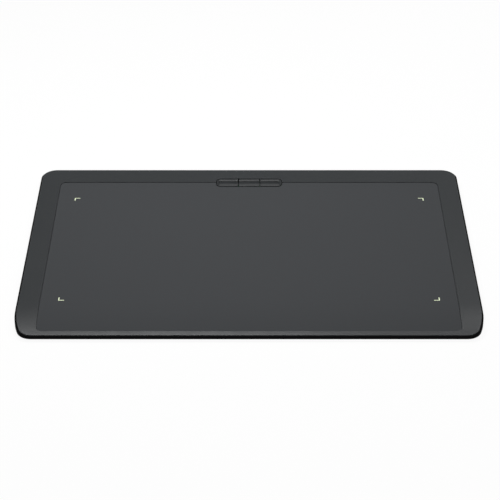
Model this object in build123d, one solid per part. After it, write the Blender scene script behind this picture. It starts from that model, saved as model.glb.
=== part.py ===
from build123d import *
import math
import os

# Graphics tablet with a drawing panel, three buttons and four lit corner marks.
# Millimetres, X to the right, Y to the back, Z up. The origin lies under the middle
# of the case, on the surface that the feet stand on.

# Case
WIDTH = 320.2
DEPTH = 234.5
HEIGHT = 8.0
FOOT_STANDOFF = 0.7
FLOOR_THICKNESS = 1.2
WALL = 2.9
BACK_CORNER_R = 11.8
FRONT_SWEEP_R = 63.4
FRONT_SWEEP_TURN = 17.6
FRONT_CORNER_R = 10.3
BOTTOM_EDGE_R = 1.85
TRAY_EDGE = 0.35

# Upper shell and the slope down to the front
TOP_INSET = 1.25
TOP_EDGE_HEIGHT = 0.9
TOP_EDGE_R = 0.2
PLATE_THICKNESS = 1.0
SLOPE_LENGTH = 35.3
FRONT_EDGE_HEIGHT = 3.9
FRONT_LIP_HEIGHT = 0.25
PLATE_GAP = 0.15

# Drawing panel
PANEL_RECESS = 0.3
PANEL_THICKNESS = 0.4
GLUE_THICKNESS = 0.1
GLUE_MARGIN = 0.6
PANEL_SIDE_MARGIN = 16.05
PANEL_BACK_MARGIN = 21.4
PANEL_FRONT_MARGIN = 5.35
PANEL_BACK_R = 5.0
PANEL_FRONT_R = 4.0
PANEL_GAP = 0.2
PANEL_EDGE = 0.1

# Active area and its corner marks
ACTIVE_SIDE_MARGIN = 28.8
ACTIVE_BACK_MARGIN = 46.6
ACTIVE_FRONT_MARGIN = 40.25
MARK_LENGTH = 4.0
MARK_WIDTH = 0.65
MARK_CORNER_R = 0.3
MARK_GAP = 0.04
LAMP_LENGTH = 1.6
LAMP_WIDTH = 0.6
LAMP_HEIGHT = 0.5
LAMP_GAP = 0.05

# Sensor board and shield
SENSOR_THICKNESS = 0.8
SENSOR_BORDER = 5.0
SENSOR_FRONT_BORDER = 2.7
SHIELD_THICKNESS = 0.3
SHIELD_BORDER = 1.5

# Button strip
SLOT_WIDTH = 50.4
SLOT_DEPTH = 12.85
SLOT_BACK_MARGIN = 21.88
SLOT_CORNER_R = 4.2
CAP_GAP = 0.45
CAP_SPLIT_X = 8.25
CAP_SPLIT_GAP = 0.65
CAP_WALL = 1.0
CAP_HOLLOW = 0.6
CAP_EDGE = 0.2
CAP_STROKE = 0.4
FLANGE_THICKNESS = 0.55
FLANGE_REACH = 0.8
FLANGE_END = 1.6
FLANGE_GAP = 0.1
SCOOP_DEPTH = 1.15
SCOOP_BACK_RIM = 2.3
SCOOP_FRONT_RIM = 1.2
SCOOP_END_RIM = 2.0
SCOOP_WALL_RUN = 0.5
SCOOP_FACET_RUN = 1.0
SCOOP_FACET_DROP = 0.36
SCOOP_SAG = 0.08

# Tactile switches
SWITCH_SIDE = 5.2
SWITCH_HEIGHT = 1.5
SWITCH_BASE = 0.2
PLUNGER_R = 1.25
PLUNGER_GAP = 0.05
PLUNGER_BOTTOM_GAP = 0.1

# Main board
BOARD_WIDTH = 138.0
BOARD_DEPTH = 33.0
BOARD_THICKNESS = 0.8
BOARD_STANDOFF = 0.7
BOARD_BACK_MARGIN = 4.45
BOARD_SCREW_INSET = 3.75
BOARD_BOSS_R = 2.2
BOARD_HOLE_R = 0.8
BOARD_SCREW_R = 0.7
BOARD_PILOT_R = 0.72
BOARD_SCREW_HEAD_R = 1.5
BOARD_SCREW_HEAD_HEIGHT = 0.8
BOARD_SCREW_LENGTH = 2.0

# Chips and the wireless board
PROCESSOR_SIDE = 7.0
PROCESSOR_HEIGHT = 0.9
PROCESSOR_X = 36.0
CHARGER_SIDE = 4.0
CHARGER_HEIGHT = 0.8
CHARGER_X = -60.0
WIRELESS_WIDTH = 12.0
WIRELESS_DEPTH = 9.0
WIRELESS_THICKNESS = 0.6
WIRELESS_X = -32.0
LID_BORDER = 0.7
LID_HEIGHT = 1.2
LID_WALL = 0.2

# Ribbon cable and its sockets
RIBBON_X = -35.0
RIBBON_WIDTH = 14.0
RIBBON_THICKNESS = 0.2
RIBBON_BEND_R = 1.6
RIBBON_ENTRY = 1.6
RIBBON_GAP = 0.05
RIBBON_STRAIGHT = 2.0
SOCKET_WIDTH = 18.0
SOCKET_DEPTH = 3.6
SOCKET_HEIGHT = 1.0
SOCKET_EDGE_GAP = 3.5
SOCKET_WINDOW_GAP = 0.8

# Battery and its lead
BATTERY_WIDTH = 52.0
BATTERY_DEPTH = 50.0
BATTERY_SIDE_MARGIN = 42.2
BATTERY_BACK_GAP = 11.0
BATTERY_TAPE_THICKNESS = 0.1
BATTERY_TAPE_MARGIN = 5.0
BATTERY_TOP_GAP = 0.3
BATTERY_EDGE_R = 0.8
BATTERY_BAY_GAP = 1.5
WIRE_R = 0.4
WIRE_PITCH = 1.2
WIRE_HEIGHT = 0.8
LEAD_INSET = 4.0
LEAD_BOARD_INSET = 13.0
PLUG_WIDTH = 4.6
PLUG_DEPTH = 3.0
PLUG_HEIGHT = 1.2
PLUG_GAP = 0.05
PLUG_SOCKET_WALL = 0.6

# USB-C socket
USB_X = -45.0
USB_WIDTH = 8.94
USB_HEIGHT = 3.2
USB_LENGTH = 7.5
USB_SKIN = 0.3
USB_RECESS = 0.65
USB_CENTRE_ABOVE_FLOOR = 1.7
USB_OPENING_GAP = 0.2
USB_NOTCH_GAP = 0.3
USB_EAR_WIDTH = 1.2
USB_EAR_DEPTH = 2.4
TONGUE_WIDTH = 6.7
TONGUE_THICKNESS = 0.7
TONGUE_SHORT = 0.6
TONGUE_BASE = 2.0

# Power switch
POWER_X = 45.0
POWER_WIDTH = 7.0
POWER_DEPTH = 2.8
POWER_HEIGHT = 1.4
POWER_WALL_GAP = 2.1
POWER_TRAVEL = 2.0
POWER_STEM_WIDTH = 1.4
POWER_STEM_HEIGHT = 0.8
POWER_STEM_ENTRY = 1.2
POWER_SLOT_GAP = 0.1
POWER_KNOB_WIDTH = 4.0
POWER_KNOB_HEIGHT = 1.4
POWER_KNOB_SHORT = 0.25
POWER_GUARD_WIDTH = 8.6
POWER_GUARD_HEIGHT = 2.0
POWER_GUARD_THICKNESS = 0.5
POWER_RECESS_WIDTH = 12.0
POWER_RECESS_HEIGHT = 2.5
POWER_RECESS_DEPTH = 0.8

# Status lamp
STATUS_X = 57.0
STATUS_LAMP_WIDTH = 1.6
STATUS_LAMP_DEPTH = 1.1
STATUS_LAMP_HEIGHT = 1.3
STATUS_PIPE_R = 0.6
STATUS_PIPE_GAP = 0.04
STATUS_GAP = 0.1

# Case screws
SCREW_SIDE_MARGIN = 10.2
SCREW_PITCH = 70.0
SCREW_BOARD_GAP = 6.0
SCREW_BACK_MARGIN = 9.45
SCREW_FRONT_MARGIN = 19.45
SCREW_HEAD_R = 1.8
SCREW_HEAD_HEIGHT = 1.1
SCREW_HEAD_RECESS = 0.2
SCREW_HEAD_GAP = 0.2
SCREW_R = 0.95
SCREW_CLEARANCE = 0.15
SCREW_BITE_GAP = 0.02
SCREW_SEAT = 1.0
SCREW_BITE = 2.4
SCREW_TIP_GAP = 0.2
SCREW_SLOT_LENGTH = 2.2
SCREW_SLOT_WIDTH = 0.5
SCREW_SLOT_DEPTH = 0.6
BOSS_WALL = 1.2
POST_R = 2.4

# Stiffening ribs
RIB_THICKNESS = 0.9
RIB_SIDE_MARGIN = 40.2
RIB_PITCH = 30.0
RIB_COUNT_ACROSS = 9
RIB_COUNT_ALONG = 5
RIB_TOP_GAP = 0.1
RIB_FRONT_MARGIN = 12.0
RIB_BACK_GAP = 14.0

# Feet
FOOT_LENGTH = 46.0
FOOT_WIDTH = 8.0
FOOT_RECESS = 0.5
FOOT_GAP = 0.1
FOOT_EDGE_R = 0.3
FOOT_SIDE_MARGIN = 42.0
FOOT_END_MARGIN = 14.0

# Working values for cuts
MARGIN = 5.0
TOUCH = 0.001
STANDING = (Align.CENTER, Align.CENTER, Align.MIN)

# Places worked out from the sizes above
HALF_WIDTH = WIDTH / 2
HALF_DEPTH = DEPTH / 2
UNDERSIDE_Z = FOOT_STANDOFF
FLOOR_Z = UNDERSIDE_Z + FLOOR_THICKNESS
SEAM_Z = HEIGHT - TOP_EDGE_HEIGHT
FRONT_SEAM_Z = FRONT_EDGE_HEIGHT - FRONT_LIP_HEIGHT
SLOPE_Y = -HALF_DEPTH + TOP_INSET + SLOPE_LENGTH
PANEL_TOP_Z = HEIGHT - PANEL_RECESS
GLUE_Z = PANEL_TOP_Z - PANEL_THICKNESS
POCKET_Z = GLUE_Z - GLUE_THICKNESS
PLATE_Z = POCKET_Z - PLATE_THICKNESS
SENSOR_Z = PLATE_Z - SENSOR_THICKNESS
SHIELD_Z = SENSOR_Z - SHIELD_THICKNESS
INNER_BACK_Y = HALF_DEPTH - WALL
SLOT_Y = HALF_DEPTH - SLOT_BACK_MARGIN
BOARD_Z = FLOOR_Z + BOARD_STANDOFF
BOARD_TOP = BOARD_Z + BOARD_THICKNESS
BOARD_BACK_Y = HALF_DEPTH - BOARD_BACK_MARGIN
BOARD_FRONT_Y = BOARD_BACK_Y - BOARD_DEPTH
BOARD_Y = BOARD_BACK_Y - BOARD_DEPTH / 2
SCREW_SPREAD = BOARD_WIDTH / 2 + SCREW_BOARD_GAP
BATTERY_X = HALF_WIDTH - BATTERY_SIDE_MARGIN - BATTERY_WIDTH / 2
ACTIVE_X = HALF_WIDTH - ACTIVE_SIDE_MARGIN
ACTIVE_BACK_Y = HALF_DEPTH - ACTIVE_BACK_MARGIN
ACTIVE_FRONT_Y = -HALF_DEPTH + ACTIVE_FRONT_MARGIN
SENSOR_BACK_Y = ACTIVE_BACK_Y + SENSOR_BORDER
SENSOR_FRONT_Y = ACTIVE_FRONT_Y - SENSOR_FRONT_BORDER
USB_Z = FLOOR_Z + USB_CENTRE_ABOVE_FLOOR
USB_FRONT_Y = HALF_DEPTH - USB_RECESS
USB_BACK_Y = USB_FRONT_Y - USB_LENGTH
POWER_Z = BOARD_TOP + POWER_HEIGHT / 2
STATUS_Z = BOARD_TOP + STATUS_GAP + STATUS_PIPE_R


def arc_radius(run, drop):
    """Radius of an arc that starts level and drops this much over this run."""
    return (run**2 + drop**2) / (2 * drop)


TOP_ARC_R = arc_radius(SLOPE_LENGTH, HEIGHT - FRONT_EDGE_HEIGHT)
SEAM_ARC_R = arc_radius(SLOPE_LENGTH, SEAM_Z - FRONT_SEAM_Z)


def slab(width, depth, height, x, y, z):
    """Box centred on x and y that stands on z."""
    return Pos(x, y, z) * Box(width, depth, height, align=STANDING)


def post(radius, height, x, y, z):
    """Upright cylinder that stands on z."""
    return Pos(x, y, z) * Cylinder(radius, height, align=STANDING)


def prism(face, bottom, top):
    """Upright solid over a flat outline, from one height to another."""
    return extrude(Pos(0, 0, bottom) * face, top - bottom)


def outline(inset=0.0):
    """Outline of the case, moved inwards, with two-arc corners at the front."""
    side_x = HALF_WIDTH - inset
    back_y = HALF_DEPTH - inset
    front_y = -back_y
    back_r = BACK_CORNER_R - inset
    sweep_r = FRONT_SWEEP_R - inset
    corner_r = FRONT_CORNER_R - inset
    turn = math.radians(FRONT_SWEEP_TURN)
    reach = sweep_r - corner_r
    sweep_x = side_x - sweep_r
    sweep_y = front_y + corner_r + reach * math.sin(turn)
    corner_x = sweep_x + reach * math.cos(turn)
    corner_y = front_y + corner_r
    right = Curve() + [
        CenterArc((corner_x, corner_y), corner_r, -90, 90 - FRONT_SWEEP_TURN),
        CenterArc((sweep_x, sweep_y), sweep_r, -FRONT_SWEEP_TURN, FRONT_SWEEP_TURN),
        Line((side_x, sweep_y), (side_x, back_y - back_r)),
        CenterArc((side_x - back_r, back_y - back_r), back_r, 0, 90),
    ]
    across = Curve() + [
        Line((-corner_x, front_y), (corner_x, front_y)),
        Line((back_r - side_x, back_y), (side_x - back_r, back_y)),
    ]
    return make_face((right + mirror(right, Plane.YZ) + across).edges())


def surface_height(y, level, radius):
    """Height at y of a surface that is level, then an arc down to the front."""
    run = max(0.0, SLOPE_Y - y)
    return level - radius + math.sqrt(radius**2 - run**2)


def below(level, radius):
    """Space under a surface that is level, then an arc down to the front."""
    front = -HALF_DEPTH - MARGIN
    back = HALF_DEPTH + MARGIN
    sweep = math.degrees(math.asin((SLOPE_Y - front) / radius))
    front_z = surface_height(front, level, radius)
    edges = Curve() + [
        CenterArc((SLOPE_Y, level - radius), radius, 90, sweep),
        Polyline((front, front_z), (front, -MARGIN), (back, -MARGIN), (back, level), (SLOPE_Y, level)),
    ]
    return extrude(Plane.YZ * make_face(edges.edges()), HALF_WIDTH + MARGIN, both=True)


def under_top(depth):
    """Space under the upper surface, or under a layer at this depth in it."""
    return below(HEIGHT - depth, TOP_ARC_R - depth)


def rim_edges(body, level, radius):
    """Edges round the surface that a body ends in, without the line where its slope starts."""
    found = []
    for edge in body.edges():
        middle = edge.position_at(0.5)
        on_surface = abs(middle.Z - surface_height(middle.Y, level, radius)) < TOUCH
        on_line = abs(middle.Y - SLOPE_Y) < TOUCH and abs(middle.X) < TOUCH
        if on_surface and not on_line:
            found.append(edge)
    return found


def panel_outline(grow=0.0):
    """Outline of the drawing panel, made larger all round by grow."""
    half_width = HALF_WIDTH - PANEL_SIDE_MARGIN + grow
    back_y = HALF_DEPTH - PANEL_BACK_MARGIN + grow
    front_y = -HALF_DEPTH + PANEL_FRONT_MARGIN - grow
    middle_y = (back_y + front_y) / 2
    face = Pos(0, middle_y) * Rectangle(2 * half_width, back_y - front_y)
    corners = face.vertices().sort_by(Axis.Y)
    face = fillet(corners[2:], PANEL_BACK_R + grow)
    corners = face.vertices().sort_by(Axis.Y)
    return fillet(corners[:2], PANEL_FRONT_R + grow)


def slot_outline(shrink=0.0):
    """Outline of the opening for the buttons, made smaller all round by shrink."""
    width = SLOT_WIDTH - 2 * shrink
    depth = SLOT_DEPTH - 2 * shrink
    return Pos(0, SLOT_Y) * RectangleRounded(width, depth, SLOT_CORNER_R - shrink)


MARK_CORNERS = {
    "back_left": (-1, 1),
    "back_right": (1, 1),
    "front_left": (-1, -1),
    "front_right": (1, -1),
}


def mark_outline(side, end, grow=0.0):
    """L-shaped outline whose outer corner lies at a corner of the active area."""
    corner_x = ACTIVE_X + MARK_WIDTH / 2 + grow
    edge_y = ACTIVE_BACK_Y if end > 0 else ACTIVE_FRONT_Y
    corner_y = edge_y + end * (MARK_WIDTH / 2 + grow)
    long = MARK_LENGTH + 2 * grow
    wide = MARK_WIDTH + 2 * grow
    across = Pos(side * (corner_x - long / 2), corner_y - end * wide / 2) * Rectangle(long, wide)
    along = Pos(side * (corner_x - wide / 2), corner_y - end * long / 2) * Rectangle(wide, long)
    face = across + along
    corner = face.vertices().sort_by_distance((side * corner_x, corner_y, 0))[0]
    return fillet(corner, MARK_CORNER_R)


def mark_holes():
    """Upright openings for the corner marks, a little larger than the marks."""
    top = HEIGHT + MARGIN
    return [prism(mark_outline(side, end, MARK_GAP), 0, top) for side, end in MARK_CORNERS.values()]


def screw_places():
    """Places of the case screws: three down each side, two at the back, two at the front."""
    side_x = HALF_WIDTH - SCREW_SIDE_MARGIN
    places = []
    for side in (-1, 1):
        for row in (-1, 0, 1):
            places.append((side * side_x, row * SCREW_PITCH))
        places.append((side * SCREW_SPREAD, HALF_DEPTH - SCREW_BACK_MARGIN))
        places.append((side * SCREW_SPREAD, -HALF_DEPTH + SCREW_FRONT_MARGIN))
    return places


def board_screw_places():
    """Places of the screws at the corners of the main board."""
    half_x = BOARD_WIDTH / 2 - BOARD_SCREW_INSET
    half_y = BOARD_DEPTH / 2 - BOARD_SCREW_INSET
    return [(side * half_x, BOARD_Y + end * half_y) for side in (-1, 1) for end in (-1, 1)]


def foot_places():
    """Places of the four feet."""
    x = HALF_WIDTH - FOOT_SIDE_MARGIN
    y = HALF_DEPTH - FOOT_END_MARGIN
    return {name: (side * x, end * y) for name, (side, end) in MARK_CORNERS.items()}


SCREW_HEAD_Z = UNDERSIDE_Z + SCREW_HEAD_RECESS
SCREW_SEAT_Z = SCREW_HEAD_Z + SCREW_HEAD_HEIGHT
BOSS_TOP_Z = SCREW_SEAT_Z + SCREW_SEAT
SCREW_TIP_Z = BOSS_TOP_Z + SCREW_BITE


def upper_shell():
    """Upper shell: thin rim, a plate under the panel that drops into the tray, and screw posts."""
    shell = prism(outline(TOP_INSET), 0, HEIGHT + MARGIN) & under_top(0)
    shell -= below(SEAM_Z, SEAM_ARC_R)
    shell = fillet(rim_edges(shell, HEIGHT, TOP_ARC_R), TOP_EDGE_R)
    inside = under_top(FRONT_LIP_HEIGHT / 2)
    plate = prism(outline(WALL + PLATE_GAP), 0, HEIGHT) & inside
    plate -= under_top(HEIGHT - PLATE_Z)
    posts = [post(POST_R, HEIGHT, x, y, BOSS_TOP_Z) & inside for x, y in screw_places()]
    shell = shell + [plate] + posts
    pocket = prism(panel_outline(PANEL_GAP), 0, HEIGHT + MARGIN) - under_top(HEIGHT - POCKET_Z)
    hole_r = SCREW_R + SCREW_BITE_GAP
    holes = [post(hole_r, SCREW_BITE + SCREW_TIP_GAP, x, y, BOSS_TOP_Z) for x, y in screw_places()]
    return shell - ([pocket, prism(slot_outline(), 0, HEIGHT + MARGIN)] + holes + mark_holes())


def ribs():
    """Grid of ribs that stiffens the floor and backs the sensor board."""
    front_y = -HALF_DEPTH + RIB_FRONT_MARGIN
    back_y = SENSOR_BACK_Y - RIB_BACK_GAP
    height = SHIELD_Z - RIB_TOP_GAP - FLOOR_Z
    across = 2 * (HALF_WIDTH - RIB_SIDE_MARGIN)
    pitch = across / (RIB_COUNT_ACROSS - 1)
    grid = []
    for index in range(RIB_COUNT_ACROSS):
        x = index * pitch - across / 2
        grid.append(slab(RIB_THICKNESS, back_y - front_y, height, x, (back_y + front_y) / 2, FLOOR_Z))
    for index in range(RIB_COUNT_ALONG):
        grid.append(slab(across, RIB_THICKNESS, height, 0, back_y - index * RIB_PITCH, FLOOR_Z))
    grid = grid[0] + grid[1:]
    grid &= under_top(HEIGHT - PLATE_Z + RIB_TOP_GAP)
    bay_width = BATTERY_WIDTH + 2 * BATTERY_BAY_GAP
    bay_depth = BATTERY_DEPTH + 2 * BATTERY_BAY_GAP
    return grid - slab(bay_width, bay_depth, HEIGHT, BATTERY_X, battery_y(), FLOOR_Z)


def usb_outline(width, height):
    """Stadium-shaped section of the USB-C socket, set upright across the back edge."""
    return Plane.XZ * Pos(USB_X, USB_Z) * RectangleRounded(width, height, height / 2 - TOUCH)


def lower_shell():
    """Lower shell: tray with ribs, bosses, port openings and recesses for the feet."""
    tray = prism(outline(), UNDERSIDE_Z, HEIGHT) & below(SEAM_Z, SEAM_ARC_R)
    tray = chamfer(rim_edges(tray, SEAM_Z, SEAM_ARC_R), TRAY_EDGE)
    tray = fillet(tray.edges().group_by(Axis.Z)[0], BOTTOM_EDGE_R)
    tray -= prism(outline(WALL), FLOOR_Z, HEIGHT)
    boss_r = SCREW_HEAD_R + SCREW_HEAD_GAP + BOSS_WALL
    bosses = [post(boss_r, BOSS_TOP_Z - FLOOR_Z, x, y, FLOOR_Z) for x, y in screw_places()]
    bosses += [post(BOARD_BOSS_R, BOARD_STANDOFF, x, y, FLOOR_Z) for x, y in board_screw_places()]
    tray = tray + ([ribs()] + bosses)
    cuts = []
    for x, y in screw_places():
        cuts.append(post(SCREW_HEAD_R + SCREW_HEAD_GAP, SCREW_SEAT_Z, x, y, 0))
        cuts.append(post(SCREW_R + SCREW_CLEARANCE, HEIGHT, x, y, 0))
    pilot_depth = BOARD_SCREW_LENGTH - BOARD_THICKNESS + SCREW_TIP_GAP
    cuts += [post(BOARD_PILOT_R, HEIGHT, x, y, BOARD_Z - pilot_depth) for x, y in board_screw_places()]
    for x, y in foot_places().values():
        length = FOOT_LENGTH + 2 * FOOT_GAP
        width = FOOT_WIDTH + 2 * FOOT_GAP
        face = Pos(x, y) * RectangleRounded(length, width, width / 2 - TOUCH)
        cuts.append(prism(face, 0, UNDERSIDE_Z + FOOT_RECESS))
    port = usb_outline(USB_WIDTH + 2 * USB_OPENING_GAP, USB_HEIGHT + 2 * USB_OPENING_GAP)
    cuts.append(Pos(0, HALF_DEPTH + MARGIN, 0) * extrude(port, 2 * MARGIN))
    slot_width = POWER_KNOB_WIDTH + POWER_TRAVEL + 2 * POWER_SLOT_GAP
    slot_height = POWER_KNOB_HEIGHT + 2 * POWER_SLOT_GAP
    slot_z = POWER_Z - slot_height / 2
    cuts.append(slab(slot_width, 2 * MARGIN, slot_height, POWER_X, HALF_DEPTH, slot_z))
    depth = 2 * POWER_RECESS_DEPTH
    recess_z = POWER_Z - POWER_RECESS_HEIGHT / 2
    cuts.append(slab(POWER_RECESS_WIDTH, depth, POWER_RECESS_HEIGHT, POWER_X, HALF_DEPTH, recess_z))
    cuts.append(status_bore(STATUS_PIPE_R + STATUS_PIPE_GAP, HALF_DEPTH - MARGIN, HALF_DEPTH + MARGIN))
    return tray - cuts


def status_bore(radius, start, end):
    """Cylinder along Y at the status lamp, from one depth to another."""
    bar = Cylinder(radius, end - start, rotation=(-90, 0, 0), align=STANDING)
    return Pos(STATUS_X, start, STATUS_Z) * bar


def drawing_panel():
    """Drawing panel, a little below the shell's surface, which bends down with the front of the case."""
    panel = prism(panel_outline(), 0, HEIGHT + MARGIN) & under_top(PANEL_RECESS)
    panel -= under_top(PANEL_RECESS + PANEL_THICKNESS)
    panel -= prism(slot_outline(), 0, HEIGHT + MARGIN)
    panel = chamfer(rim_edges(panel, PANEL_TOP_Z, TOP_ARC_R - PANEL_RECESS), PANEL_EDGE)
    return panel - mark_holes()


def panel_glue():
    """Adhesive sheet between the panel and the plate."""
    glue = prism(panel_outline(-GLUE_MARGIN), 0, HEIGHT) & under_top(PANEL_RECESS + PANEL_THICKNESS)
    glue -= under_top(HEIGHT - POCKET_Z)
    return glue - ([prism(slot_outline(-GLUE_MARGIN), 0, HEIGHT)] + mark_holes())


CAP_SIDES = {"left": -1, "middle": 0, "right": 1}
CAP_END_X = SLOT_WIDTH / 2 - CAP_GAP
CAP_SPLIT_EDGE = CAP_SPLIT_X + CAP_SPLIT_GAP / 2
CAP_SIDE_WIDTH = CAP_END_X - CAP_SPLIT_EDGE
CAP_MIDDLE_WIDTH = 2 * (CAP_SPLIT_X - CAP_SPLIT_GAP / 2)
CAP_BOTTOM_Z = PLATE_Z - FLANGE_GAP - FLANGE_THICKNESS
CAP_CEILING_Z = CAP_BOTTOM_Z + CAP_HOLLOW


def cap_span(side):
    """Middle and width of a cap along X."""
    if side == 0:
        return 0.0, CAP_MIDDLE_WIDTH
    return side * (CAP_SPLIT_EDGE + CAP_END_X) / 2, CAP_SIDE_WIDTH


def scoop():
    """Finger scoop through the caps: a facet, steep walls, then a gentle rise to the front."""
    back_y = SLOT_Y + SLOT_DEPTH / 2 - SCOOP_BACK_RIM
    front_y = SLOT_Y - SLOT_DEPTH / 2 + SCOOP_FRONT_RIM
    facet_y = back_y - SCOOP_FACET_RUN
    low_y = facet_y - SCOOP_WALL_RUN
    low_z = HEIGHT - SCOOP_DEPTH
    sag_y = (low_y + front_y) / 2
    sag_z = (low_z + HEIGHT) / 2 - SCOOP_SAG
    edges = Curve() + [
        ThreePointArc((front_y, HEIGHT), (sag_y, sag_z), (low_y, low_z)),
        Polyline((low_y, low_z), (facet_y, HEIGHT - SCOOP_FACET_DROP), (back_y, HEIGHT), (front_y, HEIGHT)),
    ]
    half_width = SLOT_WIDTH / 2 - SCOOP_END_RIM
    low_half = half_width - SCOOP_WALL_RUN
    corners = [(-half_width, HEIGHT), (half_width, HEIGHT), (low_half, low_z), (-low_half, low_z)]
    ends = Polyline(corners, close=True)
    dip = extrude(Plane.YZ * make_face(edges.edges()), half_width, both=True)
    return dip & extrude(Plane.XZ * make_face(ends.edges()), HALF_DEPTH, both=True)


def button_cap(side):
    """Button cap with its scoop, a hollow underneath and a flange at the front and the back."""
    middle_x, width = cap_span(side)
    span = slab(width, SLOT_DEPTH, HEIGHT, middle_x, SLOT_Y, 0)
    cap = prism(slot_outline(CAP_GAP), CAP_BOTTOM_Z, HEIGHT) & span
    cap = chamfer(cap.faces().sort_by(Axis.Z)[-1].edges(), CAP_EDGE)
    cap -= scoop()
    hollow_depth = SLOT_DEPTH - 2 * (CAP_GAP + CAP_WALL)
    cap -= slab(width - 2 * CAP_WALL, hollow_depth, CAP_HOLLOW, middle_x, SLOT_Y, CAP_BOTTOM_Z)
    for end in (-1, 1):
        inner = SLOT_DEPTH / 2 - CAP_GAP - CAP_WALL
        outer = SLOT_DEPTH / 2 + FLANGE_REACH
        centre = SLOT_Y + end * (inner + outer) / 2
        long = width - 2 * FLANGE_END
        cap += slab(long, outer - inner, FLANGE_THICKNESS, middle_x, centre, CAP_BOTTOM_Z)
    return cap


PLUNGER_Z = BOARD_TOP + SWITCH_BASE + PLUNGER_BOTTOM_GAP + CAP_STROKE


def switch_body(side):
    """Housing of a tactile switch, soldered to the main board."""
    x, width = cap_span(side)
    body = slab(SWITCH_SIDE, SWITCH_SIDE, SWITCH_HEIGHT, x, SLOT_Y, BOARD_TOP)
    return body - post(PLUNGER_R + PLUNGER_GAP, SWITCH_HEIGHT, x, SLOT_Y, BOARD_TOP + SWITCH_BASE)


def switch_plunger(side):
    """Plunger of a tactile switch, up to the underside of its cap."""
    x, width = cap_span(side)
    return post(PLUNGER_R, CAP_CEILING_Z - PLUNGER_Z, x, SLOT_Y, PLUNGER_Z)


def corner_light(side, end):
    """Light guide that shows as a corner mark."""
    bottom = PLATE_Z + LAMP_HEIGHT + LAMP_GAP
    return prism(mark_outline(side, end), bottom, PANEL_TOP_Z)


def corner_lamps():
    """Lamps on the sensor board, one under each corner mark."""
    lamps = []
    for side, end in MARK_CORNERS.values():
        edge_y = ACTIVE_BACK_Y if end > 0 else ACTIVE_FRONT_Y
        x = side * (ACTIVE_X - MARK_LENGTH / 2)
        lamps.append(slab(LAMP_LENGTH, LAMP_WIDTH, LAMP_HEIGHT, x, edge_y, PLATE_Z))
    return Compound(children=lamps)


SOCKET_FRONT_Y = SENSOR_BACK_Y - SOCKET_EDGE_GAP - SOCKET_DEPTH


def sensor_board():
    """Sensor board, bonded to the underside of the plate."""
    width = 2 * (ACTIVE_X + SENSOR_BORDER)
    depth = SENSOR_BACK_Y - SENSOR_FRONT_Y
    return slab(width, depth, SENSOR_THICKNESS, 0, (SENSOR_BACK_Y + SENSOR_FRONT_Y) / 2, SENSOR_Z)


def shield_sheet():
    """Shield sheet under the sensor board, with a window for the ribbon socket."""
    width = 2 * (ACTIVE_X + SENSOR_BORDER - SHIELD_BORDER)
    depth = SENSOR_BACK_Y - SENSOR_FRONT_Y - 2 * SHIELD_BORDER
    sheet = slab(width, depth, SHIELD_THICKNESS, 0, (SENSOR_BACK_Y + SENSOR_FRONT_Y) / 2, SHIELD_Z)
    window_front = SOCKET_FRONT_Y - SOCKET_WINDOW_GAP
    window_depth = SENSOR_BACK_Y + MARGIN - window_front
    window_width = SOCKET_WIDTH + 2 * SOCKET_WINDOW_GAP
    window_y = window_front + window_depth / 2
    return sheet - slab(window_width, window_depth, SHIELD_THICKNESS, RIBBON_X, window_y, SHIELD_Z)


def ribbon_socket(front_y, bottom_z, mouth):
    """Ribbon socket with its slot at the back (mouth 1) or the front (mouth -1)."""
    centre_y = front_y + SOCKET_DEPTH / 2
    body = slab(SOCKET_WIDTH, SOCKET_DEPTH, SOCKET_HEIGHT, RIBBON_X, centre_y, bottom_z)
    mouth_y = centre_y + mouth * SOCKET_DEPTH / 2
    slot_height = RIBBON_THICKNESS + 2 * RIBBON_GAP
    slot_z = bottom_z + (SOCKET_HEIGHT - slot_height) / 2
    slot_width = RIBBON_WIDTH + 2 * RIBBON_GAP
    return body - slab(slot_width, 2 * (RIBBON_ENTRY + RIBBON_GAP), slot_height, RIBBON_X, mouth_y, slot_z)


MAIN_SOCKET_Y = BOARD_FRONT_Y + SOCKET_EDGE_GAP


def ribbon_cable():
    """Ribbon cable from the sensor board down to the main board."""
    start_y = SOCKET_FRONT_Y + SOCKET_DEPTH
    start_z = SENSOR_Z - SOCKET_HEIGHT / 2
    end_y = MAIN_SOCKET_Y
    end_z = BOARD_TOP + SOCKET_HEIGHT / 2
    path = FilletPolyline(
        (start_y - RIBBON_ENTRY, start_z),
        (start_y + RIBBON_STRAIGHT, start_z),
        (end_y - RIBBON_STRAIGHT, end_z),
        (end_y + RIBBON_ENTRY, end_z),
        radius=RIBBON_BEND_R,
    )
    strip = Plane.YZ * trace(path, RIBBON_THICKNESS)
    return Pos(RIBBON_X, 0, 0) * extrude(strip, RIBBON_WIDTH / 2, both=True)


def main_board():
    """Main board with its screw holes and the notch for the USB-C socket."""
    board = slab(BOARD_WIDTH, BOARD_DEPTH, BOARD_THICKNESS, 0, BOARD_Y, BOARD_Z)
    cuts = [post(BOARD_HOLE_R, HEIGHT, x, y, 0) for x, y in board_screw_places()]
    notch_front = USB_BACK_Y - USB_NOTCH_GAP
    notch_depth = BOARD_BACK_Y + MARGIN - notch_front
    notch_width = USB_WIDTH + 2 * USB_NOTCH_GAP
    cuts.append(slab(notch_width, notch_depth, HEIGHT, USB_X, notch_front + notch_depth / 2, 0))
    return board - cuts


def cross_recess(x, y, face_z, depth_z):
    """Cross-shaped recess of a screw head, between two heights."""
    bar = slab(SCREW_SLOT_LENGTH, SCREW_SLOT_WIDTH, depth_z - face_z, x, y, face_z)
    cross = slab(SCREW_SLOT_WIDTH, SCREW_SLOT_LENGTH, depth_z - face_z, x, y, face_z)
    return bar + cross


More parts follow.
